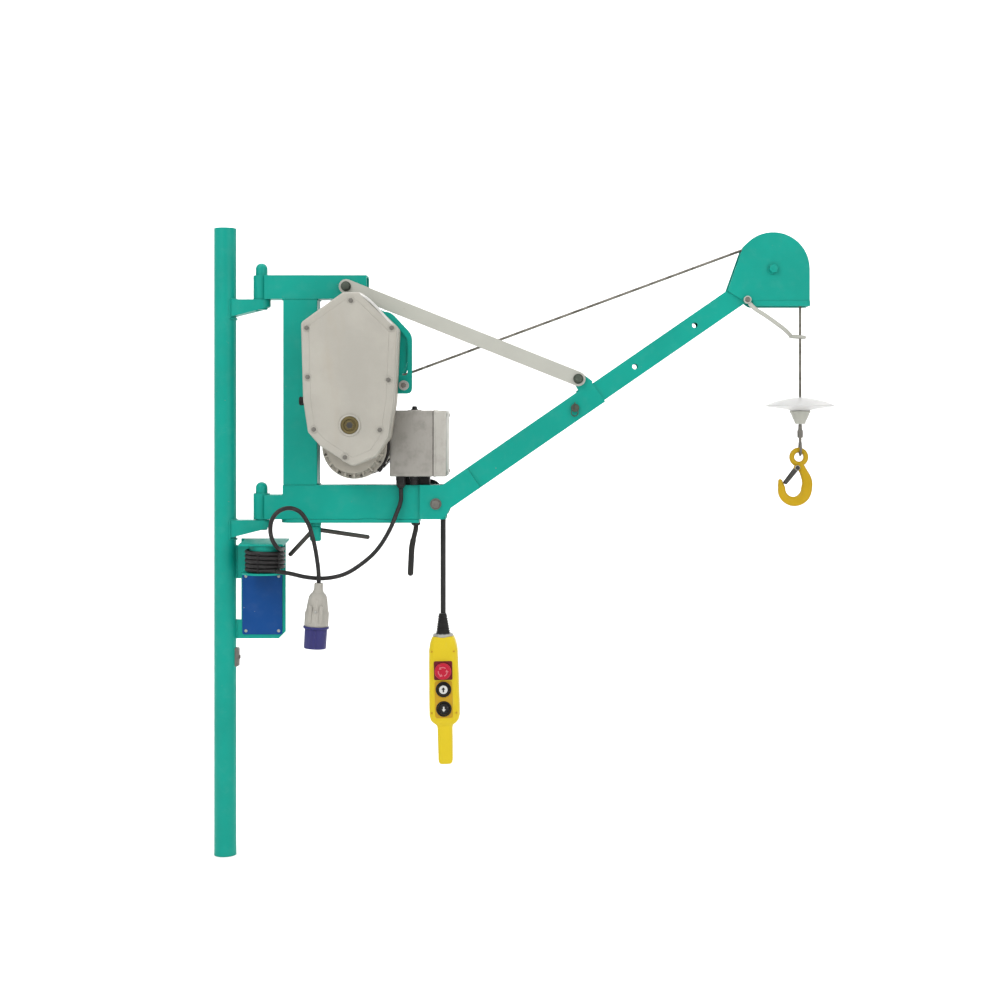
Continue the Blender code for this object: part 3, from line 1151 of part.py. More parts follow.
start_scene()
make_post()
upper_top = UPPER_BEAM_Z - GAP
lower_top = LOWER_BEAM_Z - 0.0025
make_bracket("upper_bracket", upper_top)
make_bracket("lower_bracket", lower_top)
make_hinge_pin("upper_hinge_pin", upper_top, UPPER_BEAM_Z + UPPER_BEAM_HEIGHT)
make_hinge_pin("lower_hinge_pin", lower_top, LOWER_BEAM_Z + LOWER_BEAM_NOSE)
make_hanger()
make_frame()
make_lock()
make_grip()
make_boom()
make_brace()
make_head()
make_rope()
make_drum()
make_hook_block()
make_hook()
make_gears()
make_case()
make_motor()
make_box()
make_pendant()
make_cord()
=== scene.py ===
import math

import bmesh
import bpy
import numpy as np
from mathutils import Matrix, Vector


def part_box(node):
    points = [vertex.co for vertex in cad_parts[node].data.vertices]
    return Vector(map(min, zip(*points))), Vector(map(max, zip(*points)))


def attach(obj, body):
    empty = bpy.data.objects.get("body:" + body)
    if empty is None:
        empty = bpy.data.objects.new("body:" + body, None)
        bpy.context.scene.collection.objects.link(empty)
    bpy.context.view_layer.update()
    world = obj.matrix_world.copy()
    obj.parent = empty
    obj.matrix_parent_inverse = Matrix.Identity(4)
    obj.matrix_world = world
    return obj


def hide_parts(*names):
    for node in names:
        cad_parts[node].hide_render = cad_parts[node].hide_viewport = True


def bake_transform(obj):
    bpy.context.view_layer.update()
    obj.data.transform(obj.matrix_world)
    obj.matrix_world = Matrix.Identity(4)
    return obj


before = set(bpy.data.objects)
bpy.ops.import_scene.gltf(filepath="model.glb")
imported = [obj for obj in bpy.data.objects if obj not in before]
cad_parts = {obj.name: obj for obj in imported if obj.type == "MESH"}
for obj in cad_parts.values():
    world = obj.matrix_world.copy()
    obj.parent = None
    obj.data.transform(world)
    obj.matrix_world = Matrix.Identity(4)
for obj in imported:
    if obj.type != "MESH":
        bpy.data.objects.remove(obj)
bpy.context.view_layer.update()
print("frame loaded:", len(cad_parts), "nodes")


# shader maths: a wire is one output socket, and an expression on wires adds Math nodes
class Wire:
    def __init__(self, finish, socket):
        self.finish = finish
        self.socket = socket

    def maths(self, operation, first, second):
        return self.finish.add("ShaderNodeMath", {"operation": operation}, {0: first, 1: second})

    def __add__(self, other):
        return self.maths("ADD", self, other)

    def __radd__(self, other):
        return self.maths("ADD", other, self)

    def __sub__(self, other):
        return self.maths("SUBTRACT", self, other)

    def __rsub__(self, other):
        return self.maths("SUBTRACT", other, self)

    def __mul__(self, other):
        return self.maths("MULTIPLY", self, other)

    def between(self, low, high):
        # 0 below low, 1 above high, smooth in between
        return self.finish.add("ShaderNodeMapRange", {"interpolation_type": "SMOOTHSTEP"},
            {"Value": self, "From Min": low, "From Max": high})


class Finish:
    def __init__(self, name):
        self.material = bpy.data.materials.new(name)
        self.material.use_nodes = True
        self.tree = self.material.node_tree
        self.surface = self.tree.nodes["Principled BSDF"]
        self.place = self.add("ShaderNodeTexCoord", {}, {}, "Object")

    def add(self, kind, settings, values, output=0):
        node = self.tree.nodes.new(kind)
        for key, value in settings.items():
            setattr(node, key, value)
        for key, value in values.items():
            self.put(node.inputs[key], value)
        return Wire(self, node.outputs[output])

    def put(self, socket, value):
        if isinstance(value, Wire):
            self.tree.links.new(value.socket, socket)
        else:
            socket.default_value = value

    def stretched(self, x, y, z):
        return self.add("ShaderNodeMapping", {}, {"Vector": self.place, "Scale": (x, y, z)})

    def noise(self, scale, detail=3.0, roughness=0.5, place=None):
        values = {"Vector": place or self.place, "Scale": scale, "Detail": detail, "Roughness": roughness}
        return self.add("ShaderNodeTexNoise", {}, values)

    def cells(self, scale):
        return self.add("ShaderNodeTexVoronoi", {}, {"Vector": self.place, "Scale": scale}, "Distance")

    def along(self, across, lengthways, turn=0.0):
        # the cords' UV map runs round (u) and along (v, in metres)
        uv = self.add("ShaderNodeUVMap", {"uv_map": "along"}, {}, "UV")
        values = {"Vector": uv, "Scale": (across, lengthways, 1.0), "Rotation": (0.0, 0.0, turn)}
        return self.add("ShaderNodeMapping", {}, values)

    def blend(self, mask, under, over):
        # colour under where mask is 0, over where it is 1
        values = {"Factor": mask, 6: under, 7: over}
        return self.add("ShaderNodeMix", {"data_type": "RGBA"}, values, 2)

    def relief(self, height, depth, strength=1.0, under=None):
        values = {"Height": height, "Distance": depth, "Strength": strength}
        if under:
            values["Normal"] = under
        return self.add("ShaderNodeBump", {}, values, "Normal")

    def wear(self, patch, grain, amount):
        # small chips: fine grain shows only inside broad patches
        broad = self.noise(patch, 2.0).between(0.5, 0.62)
        fine = self.noise(grain, 5.0, 0.65).between(0.68 - amount, 0.72 - amount)
        return broad * fine

    def set(self, **values):
        for key, value in values.items():
            self.put(self.surface.inputs[key.replace("_", " ")], value)
        return self.material


def tone(colour, share):
    return tuple(min(c * share, 1.0) for c in colour) + (1.0,)


def enamel(name, colour, roughness, chip, chipAmount=0.0, orangePeel=0.00004, dull=0.92):
    # sprayed paint: broad shade changes, a fine orange peel, rubbed and chipped spots
    f = Finish(name)
    cloud = f.noise(5.0, 4.0, 0.6).between(0.3, 0.7)
    dust = f.noise(34.0, 4.0, 0.6).between(0.45, 0.8)
    base = f.blend(cloud, tone(colour, dull), tone(colour, 1.05))
    base = f.blend(dust * 0.02, base, (0.42, 0.42, 0.38, 1.0))
    chips = f.wear(16.0, 150.0, chipAmount)
    peel = f.noise(420.0, 2.0)
    normal = f.relief(peel, orangePeel, 0.5)
    normal = f.relief(1 - chips, 0.00008, 0.6, normal)
    return f.set(
        Base_Color=f.blend(chips, base, tone(chip, 1.0)),
        Roughness=roughness + dust * 0.16 + chips * 0.2 - cloud * 0.05,
        Metallic=chips * 0.5,
        Normal=normal,
        Specular_IOR_Level=0.14,
    )


def castMetal(name, colour, roughness, metallic, grain=0.00012, oil=0.35):
    # sand-cast and silver painted: pitted skin, darker oily runs, brighter rubbed spots
    f = Finish(name)
    cloud = f.noise(9.0, 5.0, 0.6).between(0.35, 0.7)
    runs = f.noise(14.0, 4.0, 0.6, f.stretched(1.0, 1.0, 0.25)).between(0.52, 0.8)
    skin = f.noise(900.0, 3.0, 0.7)
    pits = 1 - f.cells(520.0).between(0.0, 0.32)
    speck = f.noise(260.0, 4.0, 0.7).between(0.6, 0.75)
    base = f.blend(cloud, tone(colour, 0.94), tone(colour, 1.05))
    base = f.blend(runs * oil, base, tone((0.3, 0.26, 0.2), 1.0))
    base = f.blend(speck * 0.3, base, tone(colour, 0.72))
    normal = f.relief(skin, grain, 0.7)
    normal = f.relief(1 - pits, 0.0001, 0.35, normal)
    return f.set(
        Base_Color=base,
        Roughness=roughness + skin * 0.14 - cloud * 0.08 + runs * 0.1,
        Metallic=metallic,
        Normal=normal,
        Specular_IOR_Level=0.3,
    )


def bareMetal(name, colour, roughness, stretch=(1.0, 1.0, 1.0), rust=0.0):
    # rolled or plated metal: long fine brush marks, dull blooms, a little rust
    f = Finish(name)
    brush = f.noise(700.0, 3.0, 0.6, f.stretched(*stretch))
    bloom = f.noise(40.0, 4.0, 0.6).between(0.4, 0.75)
    stain = f.wear(30.0, 220.0, rust)
    base = f.blend(bloom, tone(colour, 1.04), tone(colour, 0.91))
    base = f.blend(stain, base, (0.16, 0.06, 0.025, 1.0))
    return f.set(
        Base_Color=base,
        Roughness=roughness + brush * 0.16 + bloom * 0.12 + stain * 0.25,
        Metallic=0.92 - stain * 0.6,
        Normal=f.relief(brush, 0.00002, 0.6),
    )


def moulded(name, colour, roughness, grain=380.0, depth=0.00005, grime=0.2, grimeColour=(0.05, 0.045, 0.04)):
    # moulded plastic or rubber: eroded-tool grain, handling marks and settled dust
    f = Finish(name)
    skin = f.noise(grain, 3.0, 0.6)
    hands = f.noise(22.0, 4.0, 0.65).between(0.45, 0.78)
    scuffs = f.noise(160.0, 3.0, 0.6, f.stretched(1.0, 1.0, 0.18)).between(0.62, 0.72)
    base = f.blend(hands * grime, tone(colour, 1.03), tone(grimeColour, 1.0))
    base = f.blend(scuffs * 0.05, base, (0.3, 0.3, 0.28, 1.0))
    return f.set(
        Base_Color=base,
        Roughness=roughness + skin * 0.12 + hands * 0.1 - scuffs * 0.06,
        Normal=f.relief(skin, depth, 0.6),
        Specular_IOR_Level=0.2,
    )


def cordSheath(name, colour):
    # extruded rubber sheath: faint draw lines and dust
    f = Finish(name)
    lines = f.noise(1.0, 2.0, 0.5, f.along(30.0, 14.0))
    dust = f.noise(1.0, 3.0, 0.6, f.along(3.0, 46.0)).between(0.5, 0.75)
    base = f.blend(dust * 0.22, tone(colour, 1.0), (0.1, 0.095, 0.09, 1.0))
    return f.set(
        Base_Color=base,
        Roughness=0.42 + dust * 0.2 + lines * 0.1,
        Normal=f.relief(lines, 0.00006, 0.5),
        Specular_IOR_Level=0.25,
    )


def wireRope(name):
    # zinc wire rope: fine wires cross the strands at a slant, grease darkens it in broad patches
    f = Finish(name)
    values = {"Vector": f.along(36.0, 520.0, 0.5), "Scale": 0.5, "Distortion": 0.4}
    wires = f.add("ShaderNodeTexWave", {"bands_direction": "X"}, values, "Fac")
    grease = f.noise(70.0, 4.0, 0.6).between(0.4, 0.75)
    base = f.blend(grease, (0.16, 0.148, 0.125, 1.0), (0.06, 0.052, 0.04, 1.0))
    return f.set(
        Base_Color=base,
        Roughness=0.38 + grease * 0.2,
        Metallic=0.75 - grease * 0.3,
        Normal=f.relief(wires, 0.00015, 0.7),
    )


finishes = {
    "green": enamel("turquoise enamel", (0.002, 0.236, 0.184), 0.42, (0.16, 0.15, 0.13)),
    "weld": enamel("painted weld", (0.002, 0.22, 0.17), 0.42, (0.12, 0.11, 0.1), orangePeel=0.0001),
    "casting": castMetal("cast cover", (0.312, 0.298, 0.262), 0.5, 0.12),
    "caseBack": castMetal("cast case", (0.285, 0.268, 0.228), 0.52, 0.12, oil=0.5),
    # pale cast finish for the cover's top-right edge: a painted highlight along its bevel
    "bright": castMetal("cover edge with painted highlight", (0.46, 0.455, 0.435), 0.38, 0.3, 0.00004, 0.1),
    "brace": enamel("grey enamel", (0.345, 0.345, 0.308), 0.46, (0.25, 0.2, 0.15)),
    "boxFront": bareMetal("brushed box", (0.29, 0.277, 0.252), 0.46, (1.0, 1.0, 0.05)),
    # lighter copy of the brushed box metal: painted light for the box's lit right-hand side, built as the
    # lid, and for the knob seat
    "boxPaintedLight": bareMetal("brushed lid with painted light", (0.372, 0.36, 0.328), 0.44, (1.0, 1.0, 0.05)),
    "steel": bareMetal("zinc plate", (0.33, 0.325, 0.305), 0.36, rust=0.02),
    "dullSteel": bareMetal("dull zinc", (0.15, 0.143, 0.128), 0.46, rust=0.04),
    "boltGreen": bareMetal("painted bolt", (0.07, 0.082, 0.066), 0.48, rust=0.02),
    "darkSteel": bareMetal("blacked steel", (0.06, 0.057, 0.052), 0.44, rust=0.02),
    "brass": bareMetal("aged brass", (0.125, 0.1, 0.045), 0.38),
    "black": moulded("black moulding", (0.009, 0.008, 0.008), 0.45, grime=0.12,
        grimeColour=(0.04, 0.04, 0.038)),
    "blackPaint": enamel("black enamel", (0.014, 0.013, 0.012), 0.42, (0.2, 0.19, 0.18)),
    "grip": moulded("grip rubber", (0.013, 0.012, 0.011), 0.55, 260.0, 0.0001, grime=0.25,
        grimeColour=(0.05, 0.045, 0.04)),
    "cord": cordSheath("cord sheath", (0.01, 0.009, 0.009)),
    "rope": wireRope("wire rope"),
    "white": enamel("white enamel", (0.455, 0.45, 0.442), 0.38, (0.35, 0.33, 0.3), dull=0.97),
    "cone": enamel("off-white enamel", (0.345, 0.345, 0.305), 0.42, (0.3, 0.26, 0.2)),
    "yellow": moulded("yellow shell", (0.48, 0.36, 0.007), 0.38, 340.0, 0.00004, grime=0.08,
        grimeColour=(0.22, 0.15, 0.01)),
    "amber": moulded("amber panel", (0.37, 0.215, 0.006), 0.42, grime=0.2, grimeColour=(0.13, 0.06, 0.006)),
    "red": moulded("red button", (0.33, 0.004, 0.022), 0.3, 300.0, 0.00002, grime=0.12,
        grimeColour=(0.15, 0.01, 0.01)),
    "stopGuard": moulded("dark red guard", (0.105, 0.004, 0.01), 0.42, grime=0.2,
        grimeColour=(0.05, 0.01, 0.01)),
    "stopMark": moulded("worn mark", (0.42, 0.105, 0.125), 0.4, grime=0.1),
    "buttonWhite": moulded("white button", (0.45, 0.45, 0.43), 0.34, grime=0.12,
        grimeColour=(0.22, 0.21, 0.2)),
    "plugGrey": moulded("grey plug", (0.285, 0.272, 0.242), 0.42, 360.0, 0.00005, grime=0.2,
        grimeColour=(0.14, 0.13, 0.11)),
    "plugBlue": moulded("blue plug", (0.022, 0.021, 0.102), 0.36, 360.0, 0.00004, grime=0.15,
        grimeColour=(0.015, 0.015, 0.04)),
    "hook": enamel("hook enamel", (0.37, 0.232, 0.004), 0.42, (0.1, 0.085, 0.07), 0.05, 0.00008),
    "plate": enamel("blue enamel", (0.002, 0.044, 0.176), 0.34, (0.3, 0.3, 0.3), orangePeel=0.00002,
        dull=0.96),
}
print("finishes made:", len(finishes))


# surfaces: each function returns (points, faces) and several go into one mesh
def circleAngles(count):
    return np.linspace(0, 2 * math.pi, count, endpoint=False)


def gridSurface(points, wrapRows=False, wrapColumns=True):
    # points[row, column]: neighbouring rows and columns are joined by quads, end rows closed by a face
    rows, columns = points.shape[:2]
    r = np.arange(rows if wrapRows else rows - 1)[:, None]
    c = np.arange(columns if wrapColumns else columns - 1)[None, :]
    nextRow = (r + 1) % rows
    nextColumn = (c + 1) % columns
    quads = np.stack([r * columns + c, r * columns + nextColumn, nextRow * columns + nextColumn,
        nextRow * columns + c], axis=-1).reshape(-1, 4)
    faces = quads.tolist()
    if not wrapRows and wrapColumns:
        faces.append(list(range(columns)))
        faces.append(list(range((rows - 1) * columns, rows * columns)))
    return points.reshape(-1, 3), faces


def arcPoints(centre, radius, start, end, steps):
    a = np.radians(np.linspace(start, end, steps))
    return np.c_[centre[0] + radius * np.cos(a), centre[1] + radius * np.sin(a)]


def roundedOutline(corners, radius, steps=6):
    # each corner is replaced by an arc tangent to both of its sides
    corners = np.asarray(corners, float)
    radii = np.broadcast_to(radius, len(corners))
    points = []
    for i, corner in enumerate(corners):
        before = corners[i - 1] - corner
        after = corners[(i + 1) % len(corners)] - corner
        before = before / np.linalg.norm(before)
        after = after / np.linalg.norm(after)
        half = math.acos(np.clip(before @ after, -1, 1)) / 2
        if radii[i] <= 0 or math.pi / 2 - half < 0.02:
            points.append(corner[None])
            continue
        middle = (before + after) / np.linalg.norm(before + after)
        centre = corner + middle * radii[i] / math.sin(half)
        first = corner + before * radii[i] / math.tan(half) - centre
        last = corner + after * radii[i] / math.tan(half) - centre
        sweepAngle = math.atan2(first[0] * last[1] - first[1] * last[0], first @ last)
        a = np.linspace(0, sweepAngle, steps)[:, None]
        turnedSide = np.array([-first[1], first[0]])
        points.append(centre + first * np.cos(a) + turnedSide * np.sin(a))
    return np.concatenate(points)


def insetOutline(outline, inset):
    # every point moves inwards along the mitre of its two sides
    before = outline - np.roll(outline, 1, axis=0)
    after = np.roll(outline, -1, axis=0) - outline
    before /= np.linalg.norm(before, axis=1)[:, None] + 1e-12
    after /= np.linalg.norm(after, axis=1)[:, None] + 1e-12
    area = np.sum(outline[:, 0] * np.roll(outline[:, 1], -1) - outline[:, 1] * np.roll(outline[:, 0], -1))
    side = 1.0 if area > 0 else -1.0
    normal = side * np.c_[-(before + after)[:, 1], (before + after)[:, 0]]
    normal /= np.linalg.norm(normal, axis=1)[:, None] + 1e-12
    share = np.sqrt(np.clip((1 + np.sum(before * after, axis=1)) / 2, 0.25, 1))
    return outline + normal * (inset / share)[:, None]


def slab(outline, low, high, soft=0.001, softLow=None, steps=4, plane="XZ"):
    # a flat outline given thickness; its rim is rounded by quarter arcs of radius soft at both faces
    softLow = soft if softLow is None else softLow
    a = np.linspace(0, math.pi / 2, steps)
    insets = np.r_[softLow * (1 - np.sin(a)), soft * (1 - np.cos(a))]
    levels = np.r_[low + softLow * (1 - np.cos(a)), high - soft * (1 - np.sin(a))]
    rings = np.stack([insetOutline(np.asarray(outline, float), k) for k in insets])
    level = np.broadcast_to(levels[:, None], rings.shape[:2])
    u, v = rings[..., 0], rings[..., 1]
    order = {"XZ": (u, level, v), "XY": (u, v, level), "YZ": (level, u, v)}[plane]
    return gridSurface(np.stack(order, axis=-1))


def block(low, high, soft=0.001, edge=0.001, plane="XZ"):
    axes = {"XZ": (0, 2, 1), "XY": (0, 1, 2), "YZ": (1, 2, 0)}[plane]
    u, v, w = axes
    corners = [(low[u], low[v]), (high[u], low[v]), (high[u], high[v]), (low[u], high[v])]
    return slab(roundedOutline(corners, edge, 5), low[w], high[w], soft, plane=plane)


def basis(direction):
    w = np.asarray(direction, float) / np.linalg.norm(direction)
    helper = np.array([0.0, 0.0, 1.0]) if abs(w[2]) < 0.9 else np.array([1.0, 0.0, 0.0])
    u = np.cross(helper, w)
    u /= np.linalg.norm(u)
    return u, np.cross(w, u), w


def lathe(profile, start, direction=(0, 0, 1), sides=64, ring=False):
    # (radius, distance along the axis) points carried round an axis from start
    profile = np.asarray(profile, float)
    u, v, w = basis(direction)
    a = circleAngles(sides)
    circle = np.cos(a)[:, None] * u + np.sin(a)[:, None] * v
    points = np.asarray(start, float) + profile[:, None, 1:2] * w + profile[:, None, 0:1] * circle
    return gridSurface(points, wrapRows=ring)


def measuredFrom(level, profile):
    return [(radius, level + rise) for radius, rise in profile]


def turned(profile, x, z, sides, ring=False):
    # lathe work whose axis runs along Y through (x, z)
    return lathe(profile, (x, 0, z), (0, 1, 0), sides, ring)


def pathFrames(path):
    # the side vectors are carried along the path without twist
    path = np.asarray(path, float)
    tangent = np.gradient(path, axis=0)
    tangent /= np.linalg.norm(tangent, axis=1)[:, None]
    side = np.empty_like(path)
    side[0] = basis(tangent[0])[0]
    for i in range(1, len(path)):
        carried = side[i - 1] - tangent[i] * (side[i - 1] @ tangent[i])
        side[i] = carried / np.linalg.norm(carried)
    return tangent, side, np.cross(tangent, side)


def sweep(path, radius, sides=16, lobes=0, lobeDepth=0.0, pitch=0.04, roundEnds=False):
    # a circle carried along a path; lobes make strands that turn once in each pitch
    path = np.asarray(path, float)
    reach = np.r_[0, np.cumsum(np.linalg.norm(np.diff(path, axis=0), axis=1))]
    tangent, side, up = pathFrames(path)
    a = circleAngles(sides)
    twist = 2 * math.pi * reach[:, None] / pitch if lobes else 0.0
    size = np.broadcast_to(radius, len(path))[:, None] * (1 + 0 * a)
    if roundEnds:
        tip = np.minimum(reach, reach[-1] - reach)[:, None] / np.maximum(size, 1e-9)
        size = size * np.sqrt(np.clip(1 - (1 - np.clip(tip, 0.0, 1)) ** 2, 0.0004, 1))
    if lobes:
        size = size * (1 - lobeDepth + lobeDepth * np.abs(np.cos(lobes * (a[None] - twist) / 2)))
    points = path[:, None] + size[..., None] * (
        np.cos(a)[None, :, None] * side[:, None] + np.sin(a)[None, :, None] * up[:, None])
    return gridSurface(points)


def smoothPath(route, spacing):
    # cubic between the route's points, with slopes taken from their neighbours, then evenly spaced
    route = np.asarray(route, float)
    reach = np.r_[0.0, np.cumsum(np.linalg.norm(np.diff(route, axis=0), axis=1))]
    slopes = np.gradient(route, reach, axis=0)
    fine = np.linspace(0.0, reach[-1], 900)
    span = np.clip(np.searchsorted(reach, fine, side="right") - 1, 0, len(route) - 2)
    width = (reach[span + 1] - reach[span])[:, None]
    t = (fine - reach[span])[:, None] / width
    curve = ((2 * t ** 3 - 3 * t ** 2 + 1) * route[span] + (t ** 3 - 2 * t ** 2 + t) * width * slopes[span]
        + (3 * t ** 2 - 2 * t ** 3) * route[span + 1] + (t ** 3 - t ** 2) * width * slopes[span + 1])
    return evenPath(curve, spacing)


def evenPath(curve, spacing):
    length = np.r_[0.0, np.cumsum(np.linalg.norm(np.diff(curve, axis=0), axis=1))]
    steps = np.linspace(0.0, length[-1], max(int(length[-1] / spacing) + 1, 3))
    return np.stack([np.interp(steps, length, curve[:, k]) for k in range(3)], axis=-1)


def pathLength(path):
    return float(np.sum(np.linalg.norm(np.diff(path, axis=0), axis=1)))


def turnedAbout(shape, angle, centre, axis="Y"):
    # turns a finished surface about an axis through centre
    points, faces = shape
    c, s = math.cos(angle), math.sin(angle)
    matrix = {"Y": np.array([[c, 0, s], [0, 1, 0], [-s, 0, c]]),
        "Z": np.array([[c, -s, 0], [s, c, 0], [0, 0, 1]])}[axis]
    return (points - centre) @ matrix.T + centre, faces


def hexagon(x, z, radius, turn=0.0):
    a = np.radians(np.arange(6) * 60 + turn)
    return np.c_[x + radius * np.cos(a), z + radius * np.sin(a)]


def hexHead(x, z, seat, rise, radius, turn=15.0):
    # a six-sided head that stands from seat towards -Y (rise < 0) or +Y, its corners turned off
    low, high = sorted((seat, seat + rise))
    return slab(roundedOutline(hexagon(x, z, radius, turn), radius * 0.08, 3), low, high, radius * 0.1)


def domeHead(x, z, seat, rise, radius, sides=28):
    # a flattened dome: radius falls as the cosine of an angle while height rises as its sine
    a = np.linspace(0, math.pi / 2, 7)
    profile = np.c_[np.r_[radius, radius * np.cos(a)], np.r_[-abs(rise) * 0.2, abs(rise) * np.sin(a)]]
    return lathe(profile, (x, seat, z), (0, math.copysign(1, rise), 0), sides)


def weldBead(path, radius):
    # overlapping puddles: the bead's radius ripples along its length
    path = evenPath(np.asarray(path, float), 0.0011)
    reach = np.linspace(0, pathLength(path), len(path))
    ripple = radius * (1 + 0.16 * np.abs(np.sin(reach * 1150)) + 0.05 * np.sin(reach * 310))
    return sweep(path, ripple, 10, roundEnds=True)


def finishedMesh(name, shapes, sharp):
    points = np.concatenate([s[0] for s in shapes])
    faces = []
    start = 0
    for shapePoints, shapeFaces in shapes:
        faces += [[i + start for i in face] for face in shapeFaces]
        start += len(shapePoints)
    mesh = bpy.data.meshes.new(name)
    mesh.from_pydata(points, [], faces)
    shell = bmesh.new()
    shell.from_mesh(mesh)
    bmesh.ops.remove_doubles(shell, verts=shell.verts, dist=1e-7)
    bmesh.ops.dissolve_degenerate(shell, edges=shell.edges, dist=1e-8)
    bmesh.ops.recalc_face_normals(shell, faces=shell.faces)
    shell.to_mesh(mesh)
    shell.free()
    mesh.shade_smooth()
    mesh.set_sharp_from_angle(angle=math.radians(sharp))
    return mesh


def inScene(thing):
    bpy.context.scene.collection.objects.link(thing)
    return thing


def placed(piece, finish, body, nodes=()):
    piece.data.materials.clear()
    piece.data.materials.append(finishes[finish])
    if body:
        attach(piece, body)
    if nodes:
        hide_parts(*nodes)
    return piece


def make(name, shapes, finish, body, nodes=(), sharp=32):
    piece = inScene(bpy.data.objects.new(name, finishedMesh(name, shapes, sharp)))
    return placed(piece, finish, body, nodes)


def softened(node, finish, body, edge=0.0012, angle=32):
    # the frame's own solid, merged and given rounded edges
    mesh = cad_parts[node].data.copy()
    shell = bmesh.new()
    shell.from_mesh(mesh)
    bmesh.ops.remove_doubles(shell, verts=shell.verts, dist=1e-6)
    bmesh.ops.dissolve_limit(shell, angle_limit=math.radians(0.6), verts=shell.verts, edges=shell.edges)
    shell.to_mesh(mesh)
    shell.free()
    mesh.shade_smooth()
    mesh.set_sharp_from_angle(angle=math.radians(angle))
    piece = inScene(bpy.data.objects.new(node + "_surface", mesh))
    if edge:
        soft = piece.modifiers.new("soft edges", "BEVEL")
        soft.width = edge
        soft.segments = 3
        soft.limit_method = "ANGLE"
        soft.angle_limit = math.radians(angle)
        soft.harden_normals = True
    return placed(piece, finish, body, (node,))


def carved(piece, shapes):
    # cuts shapes out of a piece, and keeps the result as its mesh
    tool = inScene(bpy.data.objects.new("cutter", finishedMesh("cutter", shapes, 30)))
    step = piece.modifiers.new("cut", "BOOLEAN")
    step.object = tool
    step.solver = "EXACT"
    graph = bpy.context.evaluated_depsgraph_get()
    mesh = bpy.data.meshes.new_from_object(piece.evaluated_get(graph))
    piece.modifiers.clear()
    piece.data = mesh
    bpy.data.objects.remove(tool, do_unlink=True)
    mesh.shade_smooth()
    mesh.set_sharp_from_angle(angle=math.radians(32))
    return piece


def withPathUV(piece, columns, length):
    # u runs round the section and v along it, in metres
    mesh = piece.data
    layer = mesh.uv_layers.new(name="along")
    corner = np.zeros(len(mesh.loops), np.int32)
    mesh.loops.foreach_get("vertex_index", corner)
    rows = len(mesh.vertices) // columns
    row = corner // columns
    u = (corner % columns) / columns
    uv = np.stack([u, row * length / max(rows - 1, 1)], axis=-1).astype(np.float32)
    layer.data.foreach_set("uv", uv.ravel())
    return piece


def carriedCord(name, path, radius, finish, columns=16, **strands):
    # a cord is a bare grid, so that its corners keep their order for the UV map
    points, faces = sweep(path, radius, columns, **strands)
    mesh = bpy.data.meshes.new(name)
    mesh.from_pydata(points, [], faces)
    mesh.validate()
    mesh.shade_smooth()
    piece = inScene(bpy.data.objects.new(name, mesh))
    withPathUV(piece, columns, pathLength(path))
    shell = bmesh.new()
    shell.from_mesh(mesh)
    bmesh.ops.recalc_face_normals(shell, faces=shell.faces)
    shell.to_mesh(mesh)
    shell.free()
    mesh.materials.append(finishes[finish])
    return piece


# free cords: the supply cord, its coil and tail, and the control's cable
supply = {
    "radius": 0.00465,
    "route": [
        (0.3894, -0.0345, 0.8067), (0.3894, -0.035, 0.7806), (0.379, -0.04, 0.7482),
        (0.3622, -0.045, 0.7095), (0.3346, -0.049, 0.6687), (0.3028, -0.053, 0.6411),
        (0.2711, -0.057, 0.6222), (0.2288, -0.0615, 0.6131), (0.1865, -0.071, 0.6169),
        (0.155, -0.0825, 0.6255), (0.1264, -0.0889, 0.6306),
    ],
    "coilCentre": (0.096, -0.05), "coilRadius": 0.0387, "pitch": 0.0094,
    "tail": [
        (0.1349, -0.08, 0.6766), (0.1315, -0.096, 0.6815), (0.1225, -0.1065, 0.698),
        (0.1178, -0.107, 0.722), (0.1226, -0.104, 0.7456),
        (0.1369, -0.1, 0.7614), (0.1574, -0.095, 0.7665), (0.1759, -0.09, 0.7598),
        (0.1923, -0.085, 0.738), (0.2046, -0.081, 0.7012), (0.2127, -0.078, 0.658),
        (0.216, -0.0765, 0.629), (0.2167, -0.076, 0.6053),
    ],
}
supplyPath = smoothPath(supply["route"], 0.003)
cx, cy = supply["coilCentre"]
coilTurn = np.linspace(-90, -90 - 270 - 4 * 360, 420)     # clockwise from above, leaving on the right
coilRise = supply["route"][-1][2] + supply["pitch"] * (-90 - coilTurn) / 360
coilPath = np.c_[cx + supply["coilRadius"] * np.cos(np.radians(coilTurn)),
    cy + supply["coilRadius"] * np.sin(np.radians(coilTurn)), coilRise]
leadIn = [supply["route"][-1], (0.112, -0.0889, 0.6306)]
woundPath = evenPath(np.concatenate([leadIn, coilPath, smoothPath(supply["tail"], 0.002)]), 0.0025)

hangingCord = carriedCord("supply_cord", supplyPath, supply["radius"], "cord")
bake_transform(hangingCord)
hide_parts("supply_cord")
woundCord = carriedCord("wound_cord", woundPath, supply["radius"], "cord")
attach(woundCord, "post")
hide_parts("cord_coil", "cord_tail")

plug = {"top": (0.2167, -0.076, 0.6043), "tilt": math.radians(3.5)}


def plugTurned(shape):
    return turnedAbout(shape, plug["tilt"], np.array(plug["top"]))


